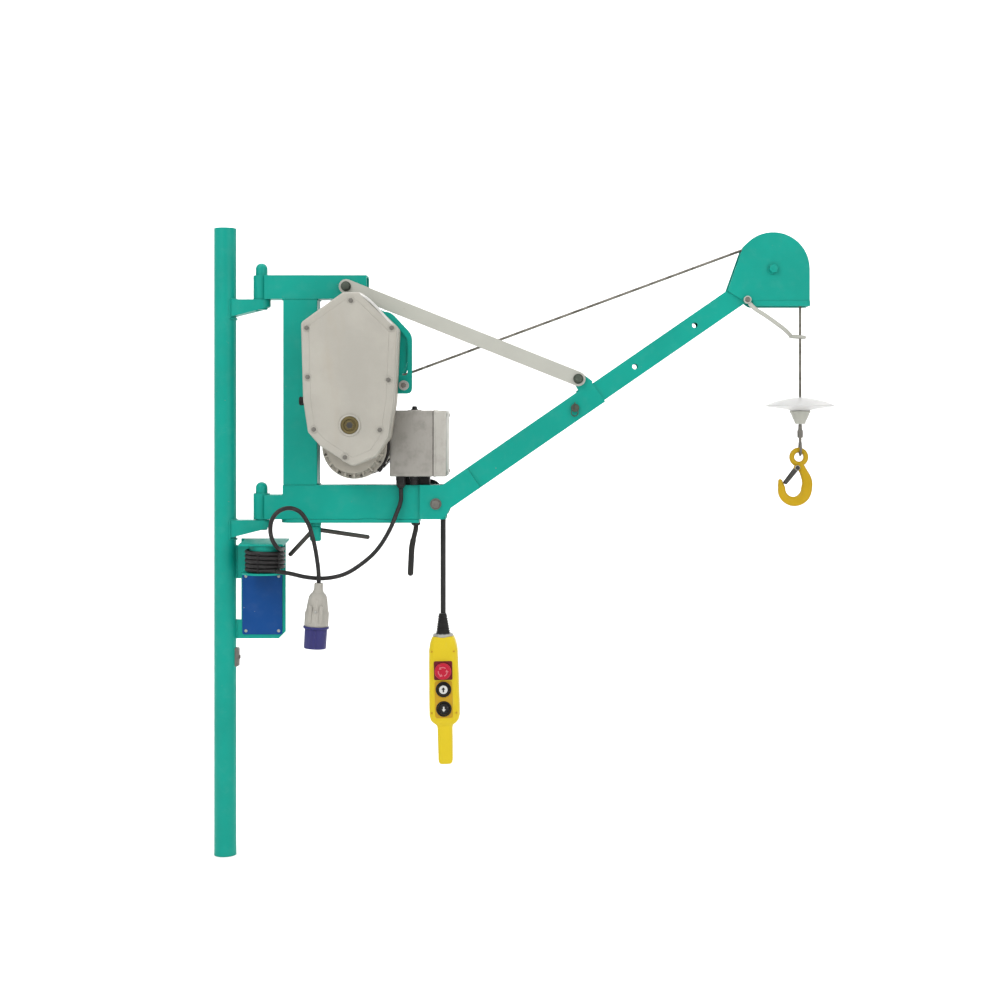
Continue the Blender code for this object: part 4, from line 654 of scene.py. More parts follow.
def plugBody():
    # a turned body whose radius also swings with the angle, for the grip flats and their ribs
    height = np.array([0.0, -0.001, -0.018, -0.024, -0.03, -0.04, -0.058, -0.064, -0.088, -0.093])
    radius = np.array([0.0072, 0.0085, 0.0105, 0.0165, 0.02, 0.0215, 0.024, 0.0262, 0.0262, 0.025])
    fine = np.linspace(0, 1, 70)
    t = np.linspace(0, 1, len(height))
    z = np.interp(fine, t, height)
    r = np.interp(fine, t, radius)
    a = circleAngles(96)
    grip = np.clip((-z - 0.03) / 0.004, 0, 1) * np.clip((z + 0.09) / 0.004, 0, 1)
    rib = 0.0007 * np.maximum(np.cos(18 * a), 0)[None] ** 3
    flat = 0.0016 * np.abs(np.cos(2 * a))[None] ** 6
    size = r[:, None] + grip[:, None] * (rib - flat)
    x, y, top = plug["top"]
    return gridSurface(np.stack([x + size * np.cos(a), y + size * np.sin(a),
        np.broadcast_to(top + z[:, None], size.shape)], axis=-1))


px, py, pz = plug["top"]
rimTop = -0.0925
grey = [plugTurned(plugBody())]
collar = lathe([(0.0, 0.0), (0.0088, 0.0), (0.0096, -0.002), (0.0096, -0.0135), (0.0118, -0.0185),
    (0.0118, -0.0215), (0.0, -0.0215)], (px, py, pz), sides=48)
grey.append(plugTurned(collar))
for side in (-1, 1):
    low = (px + side * 0.0115 - 0.0035, py - 0.0262, pz - 0.084)
    high = (px + side * 0.0115 + 0.0035, py - 0.0195, pz - 0.046)
    grey.append(plugTurned(block(low, high, 0.0012, 0.0028)))
greyPlug = make("plug_body", grey, "plugGrey", "post", ("cord_plug",))
shell = lathe([(0.0, rimTop), (0.0272, rimTop), (0.0278, rimTop - 0.0012), (0.0278, rimTop - 0.0042),
    (0.0268, rimTop - 0.0052), (0.0243, rimTop - 0.006), (0.024, -0.139), (0.0232, -0.1405),
    (0.0215, -0.1405), (0.021, -0.139), (0.0208, -0.105), (0.0, -0.105)], (px, py, pz), sides=72)
keyWay = block((px - 0.0035, py - 0.0255, pz - 0.139), (px + 0.0035, py - 0.0225, pz - 0.1), 0.0006, 0.0008)
bluePlug = make("plug_shell", [plugTurned(shell), plugTurned(keyWay)], "plugBlue", "post")
pins = []
for angle in (90, 210, 330):
    x = px + 0.0105 * math.cos(math.radians(angle))
    y = py + 0.0105 * math.sin(math.radians(angle))
    pins.append(plugTurned(lathe([(0.0, -0.104), (0.0024, -0.104), (0.0024, -0.1335), (0.0015, -0.135),
        (0.0, -0.135)], (x, y, pz), sides=20)))
plugPins = make("plug_pins", pins, "steel", "post")
screwHead = make("plug_screw", [plugTurned(domeHead(px, pz - 0.06, py - 0.0252, -0.0012, 0.0028))], "steel",
    "post")

control = {"x": 0.4755, "y": 0.052, "pivot": 0.7285, "cable": 0.006, "bootTop": 0.5235, "bootBottom": 0.4775,
    "tilt": -math.radians(1.2)}
leadRoute = [
    (0.437, 0.052, 0.817), (0.449, 0.052, 0.817), (0.459, 0.052, 0.813),
    (0.4665, 0.052, 0.802), (0.4695, 0.052, 0.785), (0.47, 0.052, 0.765),
    (0.473, 0.052, 0.748), (0.4755, 0.052, 0.736), (0.4755, 0.052, 0.7285),
    (0.4755, 0.052, 0.69), (0.4755, 0.052, 0.62), (0.4755, 0.052, 0.5245),
]
leadPath = smoothPath(leadRoute, 0.003)
controlCable = carriedCord("control_cable", leadPath, control["cable"], "cord")
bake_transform(controlCable)
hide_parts("pendant_lead", "pendant_cable")


# post, hinge brackets and cord hanger
post = {"radius": 0.02415, "height": 1.376, "hinge": 0.08, "bracketRoot": 0.042,
    "bracketTops": (1.2192, 0.7355)}
r = post["radius"]
h = post["height"]
inner = r - 0.0032
make("post_tube", [lathe([(inner, 0.0), (r - 0.0006, 0.0), (r, 0.0006), (r, 0.25 * h), (r, 0.5 * h),
    (r, 0.75 * h), (r, h - 0.0006), (r - 0.0006, h), (inner, h)], (0, 0, 0), sides=128, ring=True)], "green",
    "post", ("post_tube",))
softened("post_foot_plug", "black", "post", 0.0004)
softened("post_top_plug", "black", "post", 0.0006)
beads = []
for top in post["bracketTops"]:
    around = arcPoints((0, 0), r + 0.0008, -54, 54, 40)
    beads.append(weldBead(np.c_[around, np.full(len(around), top + 0.0004)], 0.0019))
    beads.append(weldBead(np.c_[around, np.full(len(around), top - post["bracketRoot"] - 0.0004)], 0.0019))
    for side in (-1, 1):
        x = math.sqrt((r + 0.001) ** 2 - 0.0206 ** 2)
        beads.append(weldBead([(x, side * 0.0206, top - post["bracketRoot"]), (x, side * 0.0206, top)],
            0.0019))
make("bracket_welds", beads, "weld", "post")
softened("upper_bracket", "green", "post", 0.0014)
softened("lower_bracket", "green", "post", 0.0014)


def hingePin(node):
    low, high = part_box(node)
    radius = (high.x - low.x) / 2
    rise = high.z - low.z
    a = np.radians(np.linspace(0, 90, 10))
    dome = np.c_[radius * np.cos(a), rise - radius + radius * np.sin(a)]
    return lathe(np.r_[[(0.0, 0.0), (radius - 0.001, 0.0), (radius, 0.001)], dome], (post["hinge"], 0, low.z),
        sides=64)


for node in ("upper_hinge_pin", "lower_hinge_pin"):
    make(node + "_turned", [hingePin(node)], "green", "post", (node,))

softened("hanger_plate", "green", "post", 0.0007)
plateLow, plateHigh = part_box("blank_plate")
softened("blank_plate", "plate", "post", 0.0003)
rivets = []
for x in (plateLow.x + 0.008, plateHigh.x - 0.008):
    for z in (plateLow.z + 0.008, plateHigh.z - 0.008):
        rivets.append(domeHead(x, z, plateLow.y, -0.0018, 0.0036, 24))
make("plate_rivets", rivets, "steel", "post")
hangerWeld = []
for low, high in ((0.476, 0.516), (0.608, 0.679)):
    for side in (-1, 1):
        hangerWeld.append(weldBead([(r + 0.0008, side * 0.0026, low), (r + 0.0008, side * 0.0026, high)],
            0.0017))
hangerWeld.append(weldBead([(0.046, -0.003, 0.6895), (0.132, -0.003, 0.6895)], 0.0016))
make("hanger_welds", hangerWeld, "weld", "post")
lug = [block((0.0205, -0.009, 0.414), (0.0305, 0.009, 0.455), 0.0012, 0.003)]
lug.append(lathe([(0.0, 0.0), (0.0046, 0.0), (0.0046, 0.0024), (0.0036, 0.0034), (0.0, 0.0034)],
    (0.03, 0, 0.4345), (1, 0, 0), 32))
make("post_lug", lug, "dullSteel", "post")
ties = []
for angle in (-100, -38, 65, 160):
    middleAngle = math.radians(angle)
    for level in (0.636, 0.66):
        ties.append(turnedAbout(block((cx + 0.0432, cy - 0.0022, level - 0.01),
            (cx + 0.0442, cy + 0.0022, level + 0.01), 0.0003, 0.0006, "YZ"), middleAngle,
            np.array([cx, cy, level]), "Z"))
make("cord_ties", ties, "black", "post")
print("post made")


# swinging frame: beams, column, swing lock and grip
swing = {"upperZ": 1.2195, "lowerZ": 0.738, "lowerTop": 0.813, "columnX": (0.131, 0.2057), "half": 0.025}
softened("upper_beam", "green", "swing_frame", 0.002)
softened("lower_beam", "green", "swing_frame", 0.002)
softened("frame_column", "green", "swing_frame", 0.002)
softened("base_strip", "green", "swing_frame", 0.0008)
half = swing["half"]
left, right = swing["columnX"]
frameWelds = []
for x, z in ((right, swing["upperZ"]), (right, swing["lowerTop"]), (left, swing["upperZ"]), (left, 0.7915)):
    frameWelds.append(weldBead([(x, -half + 0.002, z), (x, half - 0.002, z)], 0.0026))
for z in (swing["upperZ"], swing["lowerTop"]):
    for side in (-1, 1):
        frameWelds.append(weldBead([(left + 0.002, side * half, z), (right - 0.002, side * half, z)], 0.0014))
for side in (-1, 1):
    line = side * (half + 0.0004)
    frameWelds.append(weldBead([(0.15, line, swing["lowerZ"]), (0.19, line, swing["lowerZ"])], 0.0016))
    frameWelds.append(weldBead([(0.3, line, swing["lowerZ"]), (0.34, line, swing["lowerZ"])], 0.0016))
make("frame_welds", frameWelds, "weld", "swing_frame")

lock = {"x": 0.1985, "radius": 0.0125, "bossLow": 0.7222, "rod": 0.005}
bossLow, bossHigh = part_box("lock_boss")
bossRise = bossHigh.z - bossLow.z
make("lock_boss_turned", [lathe([
    (0.007, 0.0), (lock["radius"] - 0.001, 0.0), (lock["radius"], 0.001), (lock["radius"], bossRise),
    (0.007, bossRise)], (lock["x"], 0, bossLow.z), sides=64, ring=True)], "green", "swing_frame",
     ("lock_boss",))
screwLow = 0.689
screwTop = lock["bossLow"] - 0.0005
screwParts = [lathe([(0.0, 0.0), (0.01, 0.0), (0.0122, 0.0022), (0.0125, 0.006), (0.0125, 0.03),
    (0.0112, screwTop - screwLow), (0.0064, screwTop - screwLow), (0.0064, 0.041), (0.0, 0.041)],
    (lock["x"], 0, screwLow), sides=48)]
make("lock_screw_hub", screwParts, "green", "lock_screw", ("lock_screw",))
armEnds = (((lock["x"] - 0.008, 0, 0.7105), (0.14, 0, 0.656)),
    ((lock["x"] + 0.008, 0, 0.7135), (0.318, 0, 0.697)))
arms = [sweep(evenPath(np.array(ends), 0.0015), lock["rod"], 24, roundEnds=True) for ends in armEnds]
make("lock_arms", arms, "darkSteel", "lock_screw")

gripRoute = [(0.419, 0, 0.7296), (0.419, 0, 0.716), (0.4165, 0, 0.705), (0.411, 0, 0.68),
    (0.4085, 0, 0.645), (0.407, 0, 0.612)]
gripPath = smoothPath(gripRoute, 0.0008)
gripReach = np.linspace(0, pathLength(gripPath), len(gripPath))
ringed = np.clip((gripReach - 0.036) / 0.004, 0, 1)
gripRadius = 0.0055 + 0.0007 * ringed + 0.0004 * ringed * np.abs(np.sin(gripReach * 700))
gripCollar = lathe([(0.0, 0.0), (0.01, 0.0), (0.01, -0.004), (0.0072, -0.0062), (0.0, -0.0062)],
    (0.419, 0, 0.7296), sides=40)
make("grip", [sweep(gripPath, gripRadius, 28, roundEnds=True), gripCollar], "grip", "swing_frame",
    ("grip_handle",))
make("beam_end_stop", [block((0.4795, -0.018, 0.7415), (0.4835, 0.018, 0.749), 0.0008, 0.0012, "YZ")],
    "darkSteel", "swing_frame")
print("frame made")


# boom, its pin and bolts, and the brace
boom = {"angle": math.radians(34.6), "pivot": (0.465, 0.772), "outerHalf": 0.026, "innerHalf": 0.0225,
    "pinAt": 0.369}


def boomPoint(along, above, y=0.0):
    c, s = math.cos(boom["angle"]), math.sin(boom["angle"])
    return (boom["pivot"][0] + along * c - above * s, y, boom["pivot"][1] + along * s + above * c)


softened("boom_outer", "green", "swing_frame", 0.0014)
softened("boom_inner", "green", "boom_inner", 0.0014)
softened("brace_bar", "brace", "swing_frame", 0.001)
boomWelds = []
for side in (-1, 1):
    seam = side * (boom["outerHalf"] + 0.0003)
    boomWelds.append(weldBead([boomPoint(0.1, -0.022, seam), boomPoint(0.1, 0.022, seam)], 0.0013))
lugFront = -boom["outerHalf"] + 0.008
boomWelds.append(weldBead([boomPoint(0.39, 0.0268, lugFront + 0.0008),
    boomPoint(0.428, 0.0268, lugFront + 0.0008)], 0.0017))
make("boom_welds", boomWelds, "weld", "swing_frame")


def hexBolt(node, finish, body, headRadius, name, washer=1.35):
    # head and washer on the -Y side, shank, nut and thread end on the +Y side
    low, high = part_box(node)
    x, z = (low.x + high.x) / 2, (low.z + high.z) / 2
    shank = min(high.x - low.x, high.z - low.z) / 2
    shapes = []
    headSeat = low.y + 0.0085
    shapes.append(turned([(0.0, low.y + 0.004), (shank * 0.55, low.y + 0.004), (shank * 0.55, high.y - 0.001),
        (0.0, high.y - 0.001)], x, z, 32))
    shapes.append(hexHead(x, z, headSeat - 0.0018, -(headSeat - 0.0018 - low.y), headRadius))
    shapes.append(turned([(0.0, headSeat - 0.0018), (headRadius * washer, headSeat - 0.0018),
        (headRadius * washer, headSeat), (0.0, headSeat)], x, z, 48))
    nutSeat = high.y - 0.0085
    shapes.append(hexHead(x, z, nutSeat + 0.0018, 0.0055, headRadius))
    shapes.append(turned([(0.0, nutSeat), (headRadius * washer, nutSeat),
        (headRadius * washer, nutSeat + 0.0018), (0.0, nutSeat + 0.0018)], x, z, 48))
    return make(name, shapes, finish, body, (node,))


hexBolt("boom_pivot_bolt", "dullSteel", "swing_frame", 0.0098, "boom_foot_bolt", 1.25)
hexBolt("brace_upper_bolt", "boltGreen", "swing_frame", 0.0088, "brace_top_bolt", 1.25)
hexBolt("brace_lower_bolt", "boltGreen", "swing_frame", 0.0088, "brace_foot_bolt", 1.25)
hexBolt("pulley_axle", "green", "boom_inner", 0.01, "pulley_axle_bolt", 1.22)

pinX, _, pinZ = boomPoint(boom["pinAt"], 0.0)
pinFront, pinBack = [corner.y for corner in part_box("boom_lock_pin")]
pinShapes = [turned([(0.0, pinBack), (0.0048, pinBack), (0.0054, pinBack - 0.0008),
    (0.0054, pinFront + 0.005), (0.0088, pinFront + 0.005), (0.009, pinFront + 0.004),
    (0.009, pinFront + 0.001), (0.008, pinFront), (0.0, pinFront)], pinX, pinZ, 48)]
clip = arcPoints((pinX - 0.001, pinZ - 0.0105), 0.0075, 100, 440, 40)
pinShapes.append(sweep(np.c_[clip[:, 0], np.full(len(clip), pinFront + 0.0008), clip[:, 1]], 0.0011, 12,
    roundEnds=True))
legs = [(pinX - 0.003, pinFront - 0.0012, pinZ - 0.002), (pinX - 0.0024, pinFront - 0.0012, pinZ + 0.007),
    (pinX + 0.0004, pinFront - 0.0012, pinZ + 0.0125)]
pinShapes.append(sweep(smoothPath(legs, 0.0008), 0.0011, 12, roundEnds=True))
make("boom_pin", pinShapes, "boltGreen", "lock_pin", ("boom_lock_pin",))
print("boom made")


# head: housing, pulley and overwind lever
head = {"x": 1.201, "z": 1.285, "pitch": 0.063, "rim": 0.07, "half": 0.011}
softened("head_housing", "green", "boom_inner", 0.0011, 28)
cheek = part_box("head_housing")[0].y
headWelds = []
for side in (-1, 1):
    seam = side * (boom["innerHalf"] + 0.0008)
    low, high = boomPoint(0.8065, -0.0225, seam), boomPoint(0.7875, 0.0215, seam)
    headWelds.append(weldBead([low, high], 0.0012))
make("head_welds", headWelds, "weld", "boom_inner")
groove = head["pitch"] - 0.0034
a = np.radians(np.linspace(20, 160, 12))
bed = np.c_[groove + 0.0034 * (1 - np.sin(a)), 0.004 * np.cos(a)]
wheelProfile = [(0.0106, 0.0205), (0.018, 0.0205), (0.019, 0.0195), (0.02, 0.0055), (0.05, 0.0042),
    (0.056, 0.009), (head["rim"] - 0.001, head["half"]), (head["rim"], head["half"] - 0.0012)]
wheelProfile += bed.tolist()
wheelProfile += [(radius, -offset) for radius, offset in wheelProfile[7::-1]]
make("pulley_wheel", [turned(wheelProfile, head["x"], head["z"], 128, ring=True)], "darkSteel", "pulley",
    ("rope_pulley",))

leverFront = cheek - 0.0003 - 0.01 + 0.0022
leverRoute = [(1.147, leverFront + 0.0045, 1.211), (1.156, leverFront + 0.003, 1.201),
    (1.185, leverFront + 0.003, 1.1812), (1.21, -0.027, 1.1645), (1.229, -0.016, 1.1518),
    (1.2385, -0.008, 1.144), (1.244, -0.0025, 1.1395)]
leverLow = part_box("limit_lever")[0]
leverPath = smoothPath(leverRoute, 0.002)
leverShapes = [sweep(leverPath, 0.0046, 24, roundEnds=True)]
ringAngle = np.radians(np.linspace(0, 360, 64, endpoint=False))
ringPath = np.c_[head["x"] + head["pitch"] - 0.006 + 0.0158 * np.cos(ringAngle), 0.0104 * np.sin(ringAngle),
    1.1378 - 0.001 * np.cos(ringAngle)]
b = circleAngles(16)
radial = np.c_[np.cos(ringAngle), np.sin(ringAngle), np.zeros(64)]
tube = ringPath[:, None] + 0.0038 * (np.cos(b)[None, :, None] * radial[:, None] + np.sin(b)[None, :, None]
    * np.array([0, 0, 1.0]))
leverShapes.append(gridSurface(tube, wrapRows=True))
leverEye = lathe([(0.0, 0.0), (0.0076, 0.0), (0.0082, 0.0008), (0.0082, 0.009), (0.0076, 0.0097),
    (0.0, 0.0097)], (1.144, leverLow.y, 1.217), (0, 1, 0), 40)
leverShapes.append(leverEye)
make("overwind_lever", leverShapes, "brace", "lever", ("limit_lever",))
make("lever_screw", [domeHead(1.144, 1.217, leverLow.y + 0.0003, -0.0022, 0.0062)], "dullSteel", "lever")
print("head made")


# drum, rope turns, straight rope and fall
drum = {"x": 0.309, "z": 1.104, "back": 0.022, "front": -0.04, "flange": 0.098, "core": 0.06,
    "outerTurns": 0.0728, "wound": 0.0763}
rope = {"radius": 0.003, "lay": 0.038, "strands": 6, "valley": 0.14, "spacing": 0.0062}


def laidRope(name, path):
    return carriedCord(name, path, rope["radius"], "rope", 18, lobes=rope["strands"],
        lobeDepth=rope["valley"], pitch=rope["lay"])


low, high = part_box("rope_drum")
back, front, flangeEdge = drum["back"], drum["front"], drum["flange"]
drumProfile = [(0.0, high.y), (0.0112, high.y), (0.012, high.y - 0.0008), (0.012, back + 0.006),
    (0.022, back + 0.004), (0.024, back), (0.082, back), (0.088, back + 0.0012), (0.0962, back + 0.0012),
    (flangeEdge, back - 0.0006), (flangeEdge, back - 0.0034), (0.0965, back - 0.004),
    (drum["core"], back - 0.004), (drum["core"], front + 0.004), (0.0965, front + 0.004),
    (flangeEdge, front + 0.0034), (flangeEdge, front + 0.0006), (0.0962, front - 0.0012),
    (0.088, front - 0.0012), (0.082, front), (0.012, front), (0.012, low.y), (0.0, low.y)]
make("drum_turned", [turned(drumProfile, drum["x"], drum["z"], 128)], "green", "drum", ("rope_drum",))
firstTurn, lastTurn = front + 0.0095, back - 0.0095
turns = (lastTurn - firstTurn) / rope["spacing"]
wind = np.linspace(0, 2 * math.pi * turns, int(turns * 90))
helix = np.c_[drum["x"] + drum["outerTurns"] * np.cos(wind), np.linspace(firstTurn, lastTurn, len(wind)),
    drum["z"] + drum["outerTurns"] * np.sin(wind)]
woundRope = laidRope("wound_rope", helix)
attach(woundRope, "drum")
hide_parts("rope_winding")
innerTurns = [(drum["core"] + 0.0003, front + 0.0045), (0.07, front + 0.0045), (0.07, back - 0.0045),
    (drum["core"] + 0.0003, back - 0.0045)]
make("lower_rope_turns", [turned(innerTurns, drum["x"], drum["z"], 96, ring=True)], "darkSteel", "drum")

across, rise = head["x"] - drum["x"], head["z"] - drum["z"]
slope = math.atan2(rise, across) + math.asin((drum["wound"] + head["pitch"]) / math.hypot(across, rise))
ropeLow = (drum["x"] + drum["wound"] * math.sin(slope), 0.0, drum["z"] - drum["wound"] * math.cos(slope))
ropeHigh = (head["x"] - head["pitch"] * math.sin(slope), 0.0, head["z"] + head["pitch"] * math.cos(slope))
over = arcPoints((head["x"], head["z"]), head["pitch"], 90 + math.degrees(slope), 0, 60)
ropeLine = evenPath(np.concatenate([[ropeLow, ropeHigh], np.c_[over[:, 0], 0 * over[:, 0], over[:, 1]][1:]]),
    0.0018)
straightRope = laidRope("straight_rope", ropeLine)
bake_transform(straightRope)
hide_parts("rope_run")
fallX = head["x"] + head["pitch"]
coneBottom = 0.946
fallLine = evenPath(np.array([(fallX, 0, head["z"]), (fallX, 0, 1.1), (fallX, 0, coneBottom - 0.006)]),
    0.0018)
ropeFall = laidRope("rope_fall", fallLine)
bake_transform(ropeFall)
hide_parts("rope_fall")

softened("drum_bearing_plate", "green", "swing_frame", 0.001)
softened("rope_guard", "green", "swing_frame", 0.0006)
guard = {"roller": (0.3975, 1.03), "plate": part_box("rope_guard")[0].y}
x, z = guard["roller"]
rollerParts = [lathe([(0.0, 0.0), (0.0105, 0.0), (0.0105, -0.002), (0.0085, -0.0028), (0.0085, -0.009),
    (0.0105, -0.01), (0.0105, -0.0122), (0.0, -0.0122)], (x, guard["plate"], z), (0, 1, 0), 48)]
make("guard_roller", rollerParts, "steel", "swing_frame")
make("guard_bolt", [hexHead(x, z, guard["plate"] - 0.0118, -0.0042, 0.0062)], "dullSteel", "swing_frame")
print("drum and rope made")


# gear case: rear half with the motor's round lobe, cover, bolts and filler plug
case = {"back": -0.048, "joint": -0.095, "front": -0.13, "lobe": 0.07, "lobeFront": -0.062,
    "hub": (0.29, 0.944), "motor": (0.2916, 0.89778), "corner": 0.012}
caseCorners = [(0.275, 1.226), (0.311, 1.226), (0.39, 1.15), (0.3835, 0.997), (0.371, 0.917),
    (0.345, 0.878), (0.294, 0.857), (0.2266, 0.9), (0.201, 0.929), (0.1906, 0.997), (0.186, 1.162)]
caseLine = roundedOutline(caseCorners, case["corner"], 9)
mx, mz = case["motor"]
rear = [slab(caseLine, case["joint"] + 0.0008, case["back"], 0.001, 0.002)]
rear.append(slab(insetOutline(caseLine, -0.0016), case["joint"] + 0.0004, case["joint"] + 0.006, 0.0012))
lobeProfile = [(0.0, case["back"]), (case["lobe"], case["back"]), (case["lobe"], case["lobeFront"] + 0.002),
    (case["lobe"] - 0.0015, case["lobeFront"]), (0.0625, case["lobeFront"]),
    (0.0595, case["lobeFront"] - 0.003), (0.057, case["joint"] + 0.006), (0.0, case["joint"] + 0.006)]
rear.append(turned(lobeProfile, mx, mz, 128))
for angle in np.arange(200, 345, 18):                      # webs from the lobe's flange up its neck
    a = math.radians(angle)
    web = block((mx + 0.05, case["joint"] + 0.01, mz - 0.002),
        (mx + 0.0665, case["lobeFront"] + 0.001, mz + 0.002), 0.001, 0.001)
    rear.append(turnedAbout(web, -a, np.array([mx, 0, mz])))
rear.append(block((0.1925, case["back"] - 0.004, 0.96), (0.2057, -0.0253, 1.15), 0.0015, 0.003))
make("rear_case", rear, "caseBack", "swing_frame", ("gear_case",))
softGasket = slab(insetOutline(caseLine, 0.0005), case["joint"] - 0.0009, case["joint"] + 0.0012, 0.0001)
make("case_gasket", [softGasket], "darkSteel", "swing_frame")

lid = slab(caseLine, case["front"], case["joint"] - 0.0006, 0.0008, 0.0048, 6)
flange = slab(insetOutline(caseLine, -0.0016), case["joint"] - 0.006, case["joint"] - 0.0005, 0.0012)
innerLine = roundedOutline(insetOutline(np.array(caseCorners), 0.0165), 0.008, 7)
raised = slab(innerLine, case["front"] - 0.001, case["front"] + 0.004, 0.0008, 0.001)
coverShapes = [lid, flange, raised]
hx, hz = case["hub"]
coverBolts = [(0.2925, 1.208), (0.199, 1.15), (0.379, 1.15), (0.201, 1.046), (0.372, 1.04),
    (0.214, 0.935), (0.354, 0.934), (0.28, 0.876)]
for x, z in coverBolts:
    coverShapes.append(turned(measuredFrom(case["front"],
        [(0.0, -0.0016), (0.0076, -0.0016), (0.0084, -0.0008), (0.0092, 0.002), (0.0, 0.002)]), x, z, 40))
coverShapes.append(turned(measuredFrom(case["front"], [(0.0192, 0.001), (0.0192, -0.0034), (0.02, -0.0042),
    (0.0228, -0.0034), (0.025, 0.001)]), hx, hz, 72, ring=True))
# a bead along the cover's top-right edge in the pale finish: a painted highlight on the bevel
ridge = [(0.308, case["front"] + 0.0045, 1.2235), (0.312, case["front"] + 0.0035, 1.2215),
    (0.387, case["front"] + 0.0035, 1.1495)]
make("case_cover", coverShapes, "casting", "swing_frame", ("gear_cover",))
make("cover_edge_highlight", [sweep(smoothPath(ridge, 0.002), 0.0028, 16, roundEnds=True)], "bright", "swing_frame")
boltShapes = []
for i, (x, z) in enumerate(coverBolts):
    boltShapes.append(hexHead(x, z, case["front"] - 0.0016, -0.0032, 0.0052, 20.0 * i))
make("cover_bolts", boltShapes, "dullSteel", "swing_frame")
flangeBolts = []
for angle in np.arange(196, 350, 22):
    a = math.radians(angle)
    x, z = mx + 0.0655 * math.cos(a), mz + 0.0655 * math.sin(a)
    flangeBolts.append(domeHead(x, z, case["lobeFront"], -0.0035, 0.0034, 20))
make("flange_studs", flangeBolts, "dullSteel", "swing_frame")
# a dark hex patch just proud of the plug's head stands for its socket: painted shade for the recess, no hole
# is cut
socketShadeOutline = hexagon(hx, hz, 0.0074, 10)
plugRing = [turned(measuredFrom(case["front"], [(0.0, 0.001), (0.0188, 0.001), (0.0188, -0.003),
    (0.0172, -0.004), (0.013, -0.0036), (0.0118, -0.0018), (0.0, -0.0018)]), hx, hz, 72)]
plugRing.append(hexHead(hx, hz, case["front"] - 0.0012, -0.0034, 0.0098, 10))
make("oil_plug", plugRing, "brass", "swing_frame")
make("plug_socket_shade", [slab(socketShadeOutline, case["front"] - 0.0047, case["front"] - 0.002, 0.0001)], "darkSteel",
    "swing_frame")
knob = [lathe([(0.0, 0.0), (0.005, 0.0), (0.005, 0.004), (0.0085, 0.006), (0.0095, 0.009), (0.0095, 0.015),
    (0.008, 0.017), (0.0, 0.017)], (0.1912, -0.072, 0.996), (-1, 0, 0), 40)]
make("case_breather", knob, "black", "swing_frame")
# a black tube with a clip swept along the dark arc round the lobe's flange: partly a motor lead and partly
# painted shadow, as the arc is largely the flange's shadow line
leadAngle = np.radians(np.linspace(-44, 24, 60))
leadAndShadowArc = np.c_[mx + 0.073 * np.cos(leadAngle), np.full(60, -0.056), mz + 0.073 * np.sin(leadAngle)]
leadAndShadowArc = np.concatenate([leadAndShadowArc, [(0.364, -0.052, 0.933), (0.369, -0.046, 0.938)]])
leadEntry = (leadAndShadowArc[0] + leadAndShadowArc[1]) / 2
leadClip = lathe([(0.0, -0.004), (0.0048, -0.004), (0.0054, -0.003), (0.0054, 0.005), (0.004, 0.006),
    (0.0, 0.006)], leadEntry, leadAndShadowArc[1] - leadAndShadowArc[0], 32)
make("motor_lead_and_shadow", [sweep(smoothPath(leadAndShadowArc[::6], 0.002), 0.0028, 16, roundEnds=True), leadClip], "black",
    "swing_frame")
print("gear case made")


# motor: ribbed housing and fan cowl
motor = {"radius": 0.068, "root": 0.06, "front": -0.0477, "back": 0.1, "cowlBack": 0.15, "ribs": 30}
ribAngle = circleAngles(motor["ribs"] * 16)
rib = np.clip((np.cos(ribAngle * motor["ribs"]) - 0.35) / 0.3, 0, 1)
ribRadius = motor["root"] + 0.0074 * rib * rib * (3 - 2 * rib)
ribbed = np.c_[mx + ribRadius * np.cos(ribAngle), mz + ribRadius * np.sin(ribAngle)]
body = gridSurface(np.stack([np.stack([ribbed[:, 0], np.full(len(ribbed), y), ribbed[:, 1]],
    axis=-1) for y in (motor["front"] + 0.01, motor["back"] - 0.006)]))
endRing = measuredFrom(motor["front"], [(0.0, 0.0), (motor["radius"] - 0.001, 0.0), (motor["radius"], 0.001),
    (motor["radius"], 0.011), (motor["radius"] - 0.001, 0.012), (0.0, 0.012)])
backRing = measuredFrom(motor["back"], [(0.0, -0.008), (0.064, -0.008), (0.065, -0.007), (0.065, 0.0),
    (0.0, 0.0)])
motorShapes = [body, turned(endRing, mx, mz, 96), turned(backRing, mx, mz, 96)]
make("motor_body", motorShapes, "caseBack", "swing_frame", ("motor_housing",))
cowlProfile = measuredFrom(motor["cowlBack"], [(0.0, -0.002), (0.01, -0.002), (0.011, 0.0)])
for ring in range(5):
    start = 0.014 + ring * 0.0085
    cowlProfile += measuredFrom(motor["cowlBack"], [(start, 0.0), (start + 0.0006, -0.003),
        (start + 0.004, -0.003), (start + 0.0046, 0.0)])
cowlProfile += [(0.06, motor["cowlBack"]), (0.065, motor["cowlBack"] - 0.002),
    (motor["radius"], motor["cowlBack"] - 0.008), (motor["radius"], motor["back"] + 0.0003),
    (motor["radius"] - 0.002, motor["back"] + 0.0003), (motor["radius"] - 0.002, motor["cowlBack"] - 0.009),
    (0.06, motor["cowlBack"] - 0.005), (0.0, motor["cowlBack"] - 0.005)]
make("cowl", [turned(cowlProfile, mx, mz, 96)], "blackPaint", "swing_frame", ("fan_cowl",))
cowlScrews = [turnedAbout(lathe([(0.0, 0.0), (0.0034, 0.0), (0.0034, 0.0012), (0.002, 0.0022),
    (0.0, 0.0022)], (mx + motor["radius"] - 0.0004, 0.108, mz), (1, 0, 0), 20), math.radians(k),
    np.array([mx, 0, mz])) for k in (45, 135, 225, 315)]
make("cowl_screws", cowlScrews, "steel", "swing_frame")
print("motor made")


